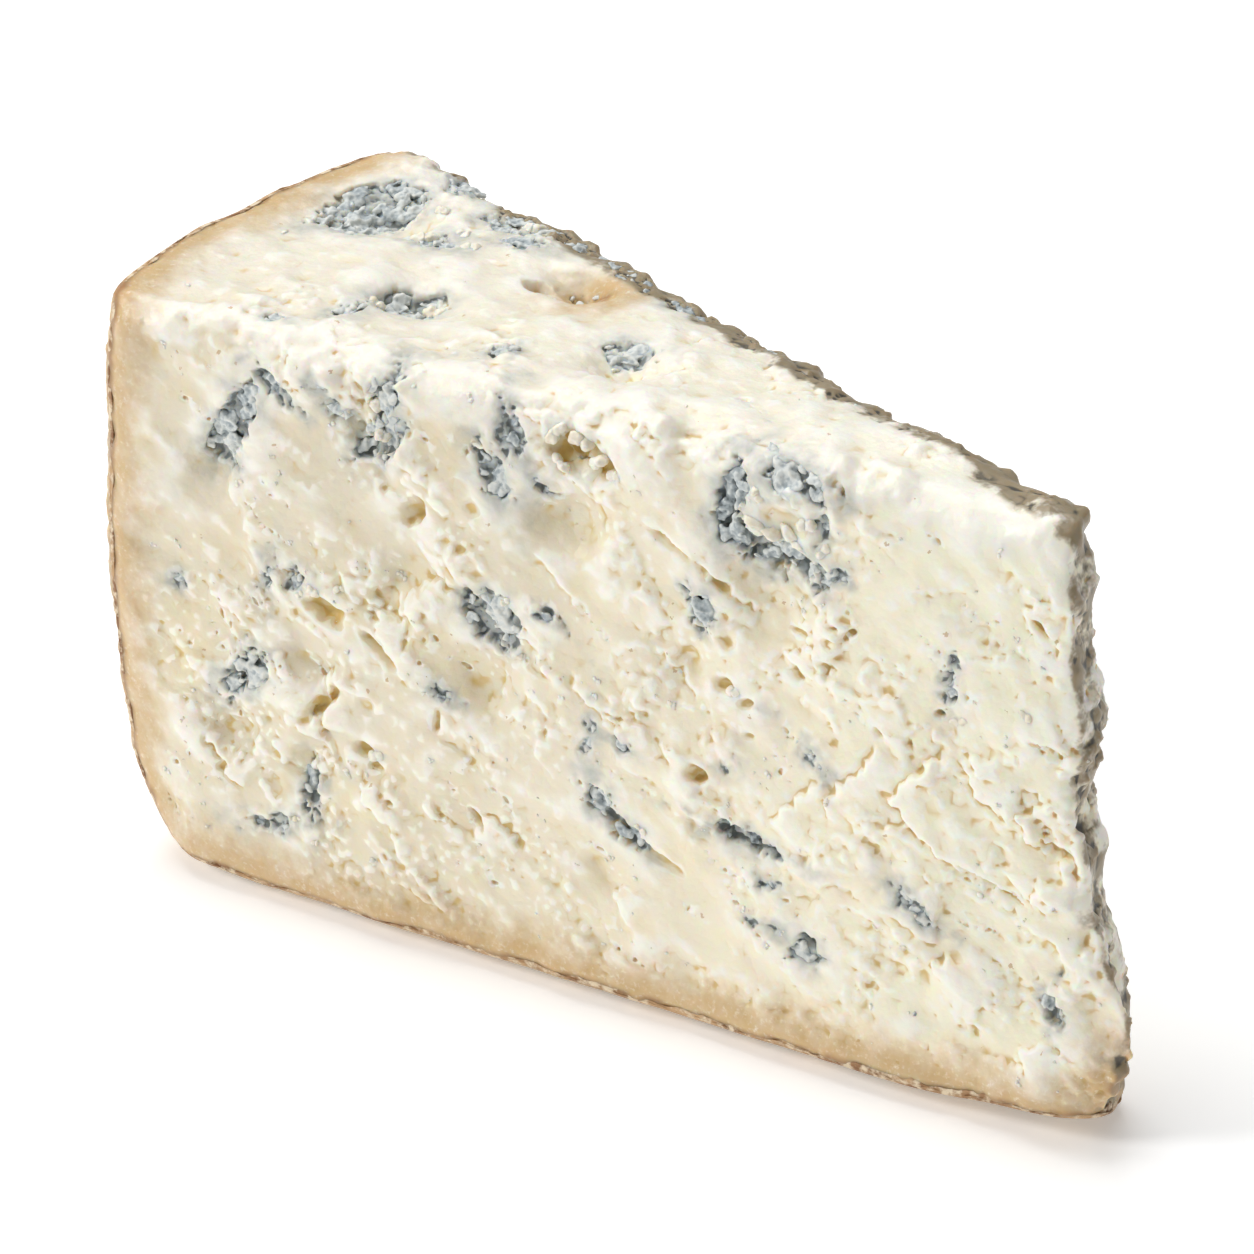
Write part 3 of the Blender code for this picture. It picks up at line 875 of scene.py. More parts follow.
@dataclass
class PasteBody:
    """The whole wedge of paste with its own rind, as one closed piece."""

    name: str = "cheese_paste"
    base_voxel: float = 0.85
    base_rounds: int = 16
    tip_run: float = 7.6
    tip_draw: float = 0.8
    tip_plane: float = 76.5
    corner_lift: float = 1.3
    rind_facing: float = 0.62
    skin_voxel: float = 0.30
    floor_share: float = 0.62
    top_floor_share: float = 0.35
    eye_share: float = 0.85
    pit_seed: int = 11
    pit_voxel: float = 0.14
    pit_margin: float = 7.0
    pit_rows: tuple[tuple[Side, int], ...] = ((FRONT, 78), (BACK, 40), (TOP, 10), (TIP, 3))
    most_triangles: int = 196_000
    relief: Relief = Relief()

    def build(self) -> Piece:
        """Makes the paste.

        Returns:
            The finished piece, with its attributes but without its finish.
        """
        piece = self.smooth_copy()
        self.probe = Probe(piece.data)
        self.find_rind(piece.data)
        remesh(piece, self.skin_voxel * MM)
        self.shape_skin(piece.data)
        self.uncut = Probe(piece.data)
        self.sink_hollows(piece.data)
        carve(piece, self.pit_cutter(Probe(piece.data)))
        shares = SideShares.of(neighbour_mean(piece.data, normals_of(piece.data), 10))
        thin_out(piece, self.most_triangles, np.maximum(shares.front, 0.9 * shares.top))
        self.mark_points(piece.data)
        piece.data.shade_smooth()
        self.skin = Probe(piece.data)
        return piece

    def smooth_copy(self) -> Piece:
        """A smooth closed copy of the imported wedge."""
        form = bmesh.new()
        form.from_mesh(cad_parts[NODE].data)
        bmesh.ops.remove_doubles(form, verts=form.verts[:], dist=0.01 * MM)
        piece = object_from(form, self.name)
        remesh(piece, self.base_voxel * MM)
        relax(piece, self.base_rounds)
        self.lean_tip(piece.data)
        return piece

    def lean_tip(self, mesh: Mesh) -> None:
        """Runs the front edge of the tip on, draws its back edge in, and lifts the far corner."""
        points = points_of(mesh)
        depth = (points[:, 1] - CAD_BOX[0][1]) / MM
        shift = self.tip_run * (1.0 - smooth_step(depth, 0.0, 8.0))
        shift -= self.tip_draw * smooth_step(depth, 3.0, 11.0)
        reach = points[:, 0] / MM - self.tip_plane + 0.12 * points[:, 2] / MM
        shift *= smooth_step(reach, -20.0, -2.0)
        shift *= 0.5 + 0.5 * smooth_step(points[:, 2] / MM, 1.0, 14.0)
        points[:, 0] += shift * MM
        corner = smooth_step(-points[:, 0] / MM, 35.0, 70.0) * smooth_step(depth, 38.0, 66.0)
        points[:, 2] += self.corner_lift * MM * corner * smooth_step(points[:, 2] / MM, 40.0, 86.0)
        move_points(mesh, points)

    def find_rind(self, mesh: Mesh) -> None:
        """Keeps search trees of the rind and of the cut faces of the smooth base."""
        points = [vert.co.copy() for vert in mesh.vertices]
        rind, cut = [], []
        for poly in mesh.polygons:
            is_rind = min(poly.normal.x, poly.normal.z) < -self.rind_facing
            (rind if is_rind else cut).append(tuple(poly.vertices))
        self.rind_tree = BVHTree.FromPolygons(points, rind)
        self.cut_tree = BVHTree.FromPolygons(points, cut)
        self.rind_loop = self.longest_loop(rind, cut, points)

    @staticmethod
    def longest_loop(
        rind: list[tuple[int, ...]], cut: list[tuple[int, ...]], points: list[Vector]
    ) -> Array:
        """The longest line along which rind faces meet cut faces.

        Args:
            rind: Corner numbers of the rind's faces.
            cut: Corner numbers of the cut faces.
            points: The mesh's points.

        Returns:
            Places along the line, one a row.
        """

        def edges(faces: list[tuple[int, ...]]) -> set[tuple[int, int]]:
            """The edges of some faces."""
            pairs = ((face[k - 1], face[k]) for face in faces for k in range(len(face)))
            return {(min(pair), max(pair)) for pair in pairs}

        links: dict[int, set[int]] = {}
        for first, second in sorted(edges(rind) & edges(cut)):
            links.setdefault(first, set()).add(second)
            links.setdefault(second, set()).add(first)
        best: list[int] = []
        while links:
            walk = [min(links)]
            while links.get(walk[-1]):
                onward = min(links[walk[-1]])
                links[walk[-1]].discard(onward)
                links[onward].discard(walk[-1])
                walk.append(onward)
            for corner in set(walk):
                if corner in links and not links[corner]:
                    del links[corner]
            if len(walk) > len(best):
                best = walk
        return np.array([points[corner] for corner in best])

    @staticmethod
    def gaps(tree: BVHTree, points: Array) -> Array:
        """Distances in millimetres from points to the nearest face of a tree."""
        find = tree.find_nearest
        return np.fromiter((find(place)[3] for place in points.tolist()), float, len(points)) / MM

    def shape_skin(self, mesh: Mesh) -> None:
        """Raises and sinks the skin by its relief, tears and swellings."""
        points = points_of(mesh)
        normals = broad_normals(mesh, 4)
        shares = SideShares.of(normals)
        low, high = np.array(CAD_BOX)
        from_rind = np.minimum((points[:, 2] - low[2]) / MM, self.arc_gap(points) / MM)
        cut = 1.0 - np.maximum(shares.rind, shares.foot)
        inland = smooth_step(from_rind, 1.0, 8.0)
        torn = cut * inland
        height = torn * self.relief.paste_height(points, shares)
        height += torn * self.feature_height(points, shares)
        height += shares.rind * self.relief.rind_height(points)
        height += cut * (1.0 - inland) * 0.16 * fractal_at(points, 5 * MM, 3, 14)
        edge = smooth_step(points[:, 2] / MM, high[2] / MM - 7.5, high[2] / MM - 2.0)
        edge = edge * shares.back * cut
        height += self.relief.edge_lumps(points, edge)
        crest = np.exp(-((high[2] - points[:, 2]) / (5 * MM)) ** 2) * torn
        behind = points[:, 1] - low[1] - 0.10 * points[:, 2]
        crest *= np.exp(-((behind / (6 * MM)) ** 2))
        height += crest * self.relief.crest_lumps(points)
        height *= smooth_step(points[:, 2] / MM, 0.2, 2.5) * 0.85 + 0.15
        height = np.where(normals[:, 2] < -0.6, 0.0, height)
        height = neighbour_mean(mesh, height, 2)
        points += normals * (height * MM)[:, None]
        points[:, 2] = np.maximum(points[:, 2], 0.0)
        move_points(mesh, points)

    @staticmethod
    def arc_gap(points: Array) -> Array:
        """Distances in metres from points to the wheel's round side."""
        return WHEEL_RADIUS - np.hypot(*(points[:, k] - WHEEL_CENTRE[k] for k in (0, 1)))

    def feature_height(self, points: Array, shares: SideShares) -> Array:
        """Height of the tears and swellings, in millimetres.

        Args:
            points: Places in metres, one a row.
            shares: The points' faces.

        Returns:
            One height for each point.
        """
        height = np.zeros(len(points))
        for swell in SWELLS:
            local = self.probe.local(swell, points)
            share = (local[:, 0] / (swell.length * MM / 2)) ** 2
            share += (local[:, 1] / (swell.width * MM / 2)) ** 2
            share += (local[:, 2] / (6 * MM)) ** 2
            height += swell.depth * np.exp(-share)
        front = np.flatnonzero(shares.front > 0.05)
        height[front] += self.tear_height(points[front]) * shares.front[front]
        return height

    def tear_height(self, points: Array) -> Array:
        """Height of the torn flakes at points of the front, in millimetres."""
        low, high = np.array(CAD_BOX)[:, [0, 2]]
        flat = points[:, [0, 2]] / MM
        ragged = (0.5 - cells_at(points, 1.5 * MM, 21)) * 1.5
        ragged += 0.3 * fractal_at(points, 3.0 * MM, 2, 22)
        height = np.zeros(len(points))
        for tear in TEARS:
            line = (np.array(tear.line) * (high - low) + low) / MM
            near, side, along = self.line_gap(flat, line)
            signed = near * side * (1.0 if tear.left else -1.0) + ragged
            ends = smooth_step(along, 0.0, 0.16) * (1.0 - smooth_step(along, 0.84, 1.0))
            rise = smooth_step(signed, -0.15, 0.25) * np.exp(-np.maximum(signed, 0.0) / tear.fade)
            foot = np.exp(-(((signed + 0.35) / 0.32) ** 2))
            height += ends * (tear.height * rise - tear.crevice * foot)
        return height

    @staticmethod
    def line_gap(flat: Array, line: Array) -> tuple[Array, Array, Array]:
        """Where points lie about a line of several stretches.

        Args:
            flat: Points in a plane, one a row.
            line: The line's corners, one a row.

        Returns:
            Each point's distance, its side (1 on the left and -1 on the right), and how far
            along the line its nearest place is, from 0 to 1.
        """
        lengths = np.linalg.norm(np.diff(line, axis=0), axis=1)
        starts = np.concatenate(([0.0], np.cumsum(lengths))) / lengths.sum()
        best, side, along = (np.full(len(flat), value) for value in (np.inf, 1.0, 0.0))
        for index, start in enumerate(line[:-1]):
            way = line[index + 1] - start
            share = np.clip((flat - start) @ way / (way @ way), 0.0, 1.0)
            offset = flat - start - share[:, None] * way
            gap = np.linalg.norm(offset, axis=1)
            closer = gap < best
            best = np.where(closer, gap, best)
            hand = np.sign(way[0] * offset[:, 1] - way[1] * offset[:, 0])
            side = np.where(closer, hand, side)
            span = starts[index + 1] - starts[index]
            along = np.where(closer, starts[index] + share * span, along)
        return best, side, along

    def sink_hollows(self, mesh: Mesh) -> None:
        """Sinks the pockets and eyes into the skin."""
        points = points_of(mesh)
        normals = broad_normals(mesh, 8)
        ragged = pocket_rim(points)
        uneven = fractal_at(points, 2.8 * MM, 2, 44)
        ledges, crease = self.relief.terraces(points, 5.0, (-0.6, 0.5), 45)
        sunk = 0.3 + 0.35 * (2.0 - ledges) + 0.3 * crease
        curds = cells_at(points, 1.6 * MM, 46) - 0.5 + 0.4 * fractal_at(points, 1.6 * MM, 2, 47)
        depth = np.zeros(len(points))
        for pocket in POCKETS:
            local = self.probe.local(pocket, points)
            near = np.abs(local[:, 2]) < 6 * MM
            inside = smooth_step(-(pocket.reach(local) + ragged), -0.25, 0.65) * near
            part = self.top_floor_share if pocket.side is TOP else self.floor_share
            floor = part * pocket.depth * sunk + 0.5 * curds
            depth = np.maximum(depth, floor * inside)
        for eye in EYES:
            local = self.probe.local(eye, points)
            depth = np.maximum(depth, self.eye_share * eye.depth * eye.bowl(local, uneven))
        points -= normals * (depth * MM)[:, None]
        points[:, 2] = np.maximum(points[:, 2], 0.0)
        move_points(mesh, points)

    def pit_cutter(self, skin: Probe) -> Piece:
        """One closed cutter for the small pits, which lie in rows along the flow."""
        rand = Random(self.pit_seed)
        heap = BallHeap()
        for side, rows in self.pit_rows:
            for _ in range(rows):
                along, across = rand.uniform(0.03, 0.97), rand.uniform(0.08, 0.95)
                angle = math.radians(rand.gauss(self.relief.flow, 16))
                gap = rand.uniform(1.1, 2.6)
                for _ in range(rand.choice((1, 1, 2, 3, 5, 8))):
                    spot = Spot(side, along, across)
                    self.add_pit(heap, skin, spot, rand)
                    along += math.cos(angle) * gap * MM / skin.size.x * rand.uniform(0.6, 1.5)
                    rise = math.sin(angle) * gap * MM / skin.size[side.axes[1]]
                    across += rise * rand.uniform(0.6, 1.5)
                    angle += rand.gauss(0, 0.25)
        cutter = heap.finish("pits")
        remesh(cutter, self.pit_voxel * MM)
        return cutter

    def add_pit(self, heap: BallHeap, skin: Probe, spot: Spot, rand: Random) -> None:
        """Adds one or two small leaning balls that make a pit, where the paste is cut.

        Args:
            heap: The cutter's balls.
            skin: The skin to cut.
            spot: Where the pit goes.
            rand: Where its shape comes from.
        """
        try:
            seat = skin.at(spot)
        except ValueError:
            return
        edge = min(seat.origin.z, self.arc_gap(np.array([seat.origin]))[0])
        if edge < self.pit_margin * MM or seat.out.dot(-spot.side.look) < 0.5:
            return
        size = 0.14 + 0.30 * rand.random() ** 3
        turn = rand.gauss(self.relief.flow, 35)
        for _ in range(rand.choice((1, 1, 2))):
            slip = Vector((rand.uniform(-0.9, 0.9), rand.uniform(-0.6, 0.6), 0.0)) * size
            stretch = rand.uniform(1.0, 2.4)
            offset = Matrix.Translation(slip * MM)
            shape = sized(size * stretch, size, size * rand.uniform(0.8, 1.5))
            place = seat.matrix(turn, rand.uniform(0, 25))
            heap.add(place @ offset @ shape, 2, 0.4, 0.6 * MM)

    def mark_points(self, mesh: Mesh) -> None:
        """Keeps what the finish needs to know at each point of the finished mesh."""
        points = points_of(mesh)
        below, rind_gap, cut_gap = (
            self.gaps(tree, points) for tree in (self.uncut.tree, self.rind_tree, self.cut_tree)
        )
        coat, halo = self.mould_masks(points, below)
        top_gap = (CAD_BOX[1][2] - points[:, 2]) / MM
        back_gap = self.back_gap(points) / MM
        # Smear and painted shade along the top edge of the back.
        smear = smooth_step(-back_gap, -7.0, -1.0) * smooth_step(-top_gap, -12.0, -3.0)
        broad = neighbour_mean(mesh, normals_of(mesh), 12)
        # Faces turned towards the tip get the smear and painted shade too.
        tip = smooth_step(broad[:, 0], 0.3, 0.75) * smooth_step(points[:, 0] / MM, 60.0, 70.0)
        # below, nook and dale drive the finish's painted shade in hollows and nooks, and its
        # painted highlight where nook and dale show raised parts.
        kept = {
            "below": below,
            "rind": smooth_step(cut_gap - rind_gap, -0.6, 0.5),
            "band": rind_gap,
            "nook": nook_depth(mesh, 3),
            "dale": nook_depth(mesh, 45),
            "coat": coat,
            "halo": halo,
            "smear": np.maximum(smear, 0.42 * tip),
        }
        for name, values in kept.items():
            store(mesh, name, values)

    def back_gap(self, points: Array) -> Array:
        """Distances in metres from points to the plane of the back face."""
        seat = self.probe.at(Spot(BACK, 0.5, 0.8))
        return (np.array(seat.origin) - points) @ np.array(Vector(BACK_WAY))

    def mould_masks(self, points: Array, below: Array) -> tuple[Array, Array]:
        """How far mould coats and tints each point.

        Args:
            points: Places in metres, one a row.
            below: Depth under the uncut skin in millimetres.

        Returns:
            The coat and the halo, each from 0 to 1.
        """
        coat, halo = np.zeros((2, len(points)))
        ragged = pocket_rim(points)
        patchy = 0.75 + 0.3 * fractal_at(points, 3.5 * MM, 3, 42)
        walls = smooth_step(below, 0.15, 0.5)
        for pocket in POCKETS:
            local = self.probe.local(pocket, points)
            reach = pocket.reach(local) + ragged
            near = np.abs(local[:, 2]) < 7 * MM
            inside = (1.0 - smooth_step(reach, -0.2, 0.7)) * near
            coat = np.maximum(coat, inside * (0.35 + 0.65 * walls))
            spread = np.exp(-np.maximum(reach, 0.0) / (pocket.halo * 0.75)) * near
            halo = np.maximum(halo, spread * patchy)
        return coat, np.clip(halo, 0.0, 1.0)


# ---- Mould and crumbs ----


@dataclass
class MouldGrowth:
    """The blue-grey growth in the pockets of one side: granular lumps with dark gaps."""

    side: Side
    voxel: float = 0.19
    most_triangles: int = 150_000
    largest_lump: float = 1.3
    top_depth: float = 0.1
    deepest_share: float = 0.35

    @property
    def name(self) -> str:
        """The name of this side's piece."""
        return f"mould_{self.side.name.lower()}"

    def build(self, paste: PasteBody) -> Piece:
        """Makes the growth on the floors of the pockets.

        Args:
            paste: The finished paste.

        Returns:
            The piece, with its attributes but without its finish.
        """
        rand = Random(self.side.name)
        heap = BallHeap()
        for pocket in POCKETS:
            if pocket.side is self.side:
                self.fill_pocket(heap, pocket, paste, rand)
        piece = heap.finish(self.name)
        remesh(piece, self.voxel * MM)
        self.roughen(piece.data)
        thin_out(piece, self.most_triangles)
        self.mark_points(piece.data, paste)
        piece.data.shade_smooth()
        return piece

    def fill_pocket(self, heap: BallHeap, pocket: Pocket, paste: PasteBody, rand: Random) -> None:
        """Sets lumps of growth in a pocket, most of them nearly level with the skin.

        Args:
            heap: The growth's balls.
            pocket: The pocket.
            paste: The finished paste.
            rand: Where the lumps' places come from.
        """
        seat = paste.probe.at(pocket.spot)
        place = seat.matrix(pocket.turn)
        area = pocket.length * pocket.width * math.pi / 4
        largest = min(self.largest_lump, 0.26 * pocket.width + 0.3)
        count = max(2, round(area * pocket.fill / (3.2 * largest**2)))
        for index in range(2 * count):
            small = index >= count
            angle, share = rand.uniform(0, 2 * math.pi), math.sqrt(rand.random())
            spread = 1.04 if small else 0.86
            along = math.cos(angle) * share * pocket.length / 2 * spread
            across = math.sin(angle) * share * pocket.width / 2 * spread
            start = place @ (Vector((along, across, 6.0)) * MM)
            found = paste.uncut.drop(start, -seat.out, 12 * MM)
            if found is None:
                continue
            top, normal = found
            size = largest * (rand.uniform(0.28, 0.5) if small else rand.uniform(0.55, 1.0))
            sunk = rand.uniform(0.0, 0.45) + (1.0 - pocket.fill) * rand.uniform(0.1, 1.1)
            sunk = min(sunk, self.deepest_share * pocket.depth)
            sunk = self.top_depth if self.side is TOP else sunk
            heart = top - normal * ((sunk + 0.65 * size) * MM)
            shape = sized(size * rand.uniform(1.1, 2.5), size, size * 0.55)
            spin = Matrix.Rotation(math.radians(pocket.turn) + rand.gauss(0, 0.5), 4, "Z")
            axes = Matrix.Translation(heart) @ seat.matrix().to_3x3().to_4x4()
            heap.add(axes @ spin @ shape, 2, 0.42, 1.1 * MM)

    @staticmethod
    def roughen(mesh: Mesh) -> None:
        """Gives the lumps their fine curdled grain."""
        points, normals = points_of(mesh), normals_of(mesh)
        grain = 0.5 - cells_at(points, 0.9 * MM, 51)
        ridges = 0.6 - np.abs(fractal_at(points, 2.4 * MM, 2, 52))
        height = 0.10 * grain + 0.26 * ridges + 0.08 * fractal_at(points, 1.0 * MM, 2, 53)
        move_points(mesh, points + normals * (height * MM)[:, None])

    def mark_points(self, mesh: Mesh, paste: PasteBody) -> None:
        """Keeps how light the growth is and how deep it sits at each point, which the finish uses
        with the nooks for painted shade.
        """
        points = points_of(mesh)
        store(mesh, "nook", nook_depth(mesh, 4))
        pale, sunk = np.zeros((2, len(points)))
        weight = np.full(len(points), 1e-6)
        for pocket in POCKETS:
            if pocket.side is not self.side:
                continue
            local = paste.probe.local(pocket, points)
            pull = np.exp(-np.maximum(pocket.reach(local), 0.0) * 3.0)
            pull = pull * (np.abs(local[:, 2]) < 8 * MM)
            pale += pocket.pale * pull
            sunk += np.clip(-local[:, 2] / MM / pocket.depth, 0.0, 1.2) * pull
            weight += pull
        store(mesh, "pale", pale / weight)
        store(mesh, "sunk", sunk / weight)


@dataclass
class CurdCrumbs:
    """Small white bits of curd on the torn faces, and the larger lumps left in the hollows."""

    name: str = "curd_crumbs"
    seed: int = 23
    strewn: int = 300
    smallest: float = 0.14
    largest: float = 0.42
    margin: float = 5.0

    def build(self, paste: PasteBody) -> Piece:
        """Makes the crumbs on the finished paste.

        Args:
            paste: The finished paste.

        Returns:
            The piece, without its finish.
        """
        rand = Random(self.seed)
        heap = BallHeap()
        for lump in LUMPS:
            self.add_lump(heap, lump, paste.uncut, rand)
        self.strew(heap, paste, rand)
        piece = heap.finish(self.name)
        piece.data.shade_smooth()
        return piece

    @staticmethod
    def add_lump(heap: BallHeap, lump: Mark, skin: Probe, rand: Random) -> None:
        """Adds one of the larger lumps as two joined balls resting on the skin."""
        seat = skin.at(lump.spot)
        for shift in (-0.22, 0.24):
            side = rand.uniform(-0.2, 0.2) * lump.width
            slip = Vector((shift * lump.length, side, -0.45 * lump.depth))
            offset = Matrix.Translation(slip * MM)
            size = rand.uniform(0.30, 0.40)
            shape = sized(lump.length * size, lump.width * 0.5, lump.depth * 0.8)
            heap.add(seat.matrix(lump.turn) @ offset @ shape, 3, 0.45, 1.3 * MM)

    def strew(self, heap: BallHeap, paste: PasteBody, rand: Random) -> None:
        """Adds the small crumbs, most of them where the paste is most torn."""
        made = 0
        while made < self.strewn:
            side = rand.choices((FRONT, BACK, TOP), (10, 5, 1.6))[0]
            spot = Spot(side, rand.uniform(0.05, 0.985), rand.uniform(0.08, 0.98))
            try:
                seat = paste.skin.at(spot)
            except ValueError:
                continue
            edge = min(seat.origin.z, paste.arc_gap(np.array([seat.origin]))[0])
            if edge < self.margin * MM:
                continue
            torn = noise.fractal(seat.origin / (11 * MM), 1, 2, 2)
            if rand.random() > 0.25 + 1.6 * torn:
                continue
            size = self.smallest + (self.largest - self.smallest) * rand.random() ** 3
            for _ in range(rand.choice((1, 1, 2, 3))):
                slip = Vector((rand.gauss(0, 1.1), rand.gauss(0, 0.8), -0.15)) * size
                offset = Matrix.Translation(slip * MM)
                stretch = rand.uniform(0.9, 1.7)
                place = seat.matrix(rand.uniform(0, 360)) @ offset
                heap.add(place @ sized(size * stretch, size, size * 0.7), 1, 0.5, 0.7 * MM)
            made += 1


# ---- The rind's torn edge ----


@dataclass
class RindFrill:
    """The thin papery lip of rind that runs round the edges of the cut faces."""

    name: str = "rind_frill"
    step: float = 0.45
    thickness: float = 0.16
    foot_reach: float = 0.75
    side_reach: float = 0.32
    overlap: float = 1.3
    rungs: int = 5
    least_height: float = 0.02
    layer_seeds: tuple[int, ...] = (61, 67)

    def build(self, paste: PasteBody) -> Piece:
        """Makes the lip along the boundary between rind and cut faces.

        Args:
            paste: The finished paste.

        Returns:
            The piece, without its finish.
        """
        path = self.edge_path(paste)
        form = bmesh.new()
        for layer, seed in enumerate(self.layer_seeds):
            self.add_layer(form, path, layer, seed)
        bmesh.ops.recalc_face_normals(form, faces=form.faces[:])
        piece = object_from(form, self.name)
        piece.data.shade_smooth()
        return piece

    def edge_path(self, paste: PasteBody) -> tuple[Array, Array, Array]:
        """The line where the rind meets the cut faces.

        Args:
            paste: The finished paste.

        Returns:
            Places along the line, and at each one the rind's and the cut face's outward ways.
        """
        loop = paste.rind_loop
        for _ in range(12):
            loop = self.evened(loop)
        gaps = np.linalg.norm(np.roll(loop, -1, 0) - loop, axis=1)
        run = np.concatenate(([0.0], np.cumsum(gaps)))
        closed = np.vstack((loop, loop[:1]))
        stops = np.arange(0.0, run[-1], self.step * MM)
        places = np.column_stack([np.interp(stops, run, closed[:, k]) for k in range(3)])
        rind_ways, cut_ways = (
            self.soften(np.array([self.way(tree, place) for place in places]))
            for tree in (paste.rind_tree, paste.cut_tree)
        )
        return places, rind_ways, cut_ways

    @staticmethod
    def way(tree: BVHTree, place: Array) -> Array:
        """The mean outward way of a tree's faces near a place."""
        near = tree.find_nearest_range(Vector(place), 4.0 * MM)
        return np.array(sum((normal for _, normal, _, _ in near), Vector()).normalized())

    @staticmethod
    def evened(rows: Array) -> Array:
        """The rows of a closed line, each drawn halfway to its neighbours' mean."""
        return 0.5 * rows + 0.25 * (np.roll(rows, 1, 0) + np.roll(rows, -1, 0))

    @staticmethod
    def soften(ways: Array) -> Array:
        """Ways evened out along a closed line."""
        for _ in range(10):
            ways = RindFrill.evened(ways)
        return ways / np.linalg.norm(ways, axis=1)[:, None]

    def add_layer(
        self, form: bmesh.types.BMesh, path: tuple[Array, ...], layer: int, seed: int
    ) -> None:
        """Adds one wavy strip of the lip.

        Args:
            form: The bmesh of the lip.
            path: The line's places, and the rind's and the cut face's outward ways there.
            layer: 0 for the outer strip, 1 for the one on the cut face.
            seed: Chooses the strip's waves.
        """
        places, rind_ways, cut_ways = path
        stops, across = len(places), self.rungs
        foot = smooth_step(-rind_ways[:, 2], 0.3, 0.8)
        reach = self.side_reach + (self.foot_reach - self.side_reach) * foot
        wave = fractal_at(places, 3.4 * MM, 3, seed)
        nick = fractal_at(places, 1.3 * MM, 2, seed + 1)
        lip = reach * np.clip(0.75 + 0.4 * wave + 0.22 * nick, 0.12, 1.7)
        lift = np.clip(0.35 + 0.3 * fractal_at(places, 2.2 * MM, 2, seed + 2), 0.0, 1.1)
        made = bmesh.ops.create_grid(form, x_segments=stops, y_segments=across - 1, size=1.0)
        order = sorted(made["verts"], key=lambda vert: (round(vert.co.x, 5), vert.co.y))
        for index, vert in enumerate(order):
            stop, rung = divmod(index, across)
            stop %= stops
            share = rung / (across - 1)
            rind_way, cut_way = rind_ways[stop], cut_ways[stop]
            along_rind = cut_way - rind_way * (cut_way @ rind_way)
            up_cut = -(rind_way - cut_way * (cut_way @ rind_way))
            if layer == 0:
                out = -self.overlap + (self.overlap + lip[stop]) * share
                up = 0.08 * (1 - share) + lift[stop] * reach[stop] * share**2
            else:
                out = 0.05 + 0.35 * lip[stop] * (1 - (2 * share - 1) ** 2)
                up = -0.3 + (0.9 + 1.1 * lip[stop]) * share
            offset = along_rind * out + up_cut * up
            if layer == 0:
                offset = offset + rind_way * 0.10 * (1 - share)
            place = places[stop] + offset * MM
            place[2] = max(place[2], self.least_height * MM)
            vert.co = place
        bmesh.ops.remove_doubles(form, verts=made["verts"], dist=0.002 * MM)
        strip = [face for face in form.faces if not face.tag]
        bmesh.ops.solidify(form, geom=strip, thickness=self.thickness * MM)
        for face in form.faces:
            face.tag = True


# ---- Finishes ----


def colour(red: float, green: float, blue: float) -> tuple[float, float, float, float]:
    """A display colour from 0 to 255 as the shader's linear one."""

    def linear(value: float) -> float:
        """One channel in linear light."""
        share = value / 255
        return share / 12.92 if share <= 0.04045 else ((share + 0.055) / 1.055) ** 2.4

    return (linear(red), linear(green), linear(blue), 1.0)


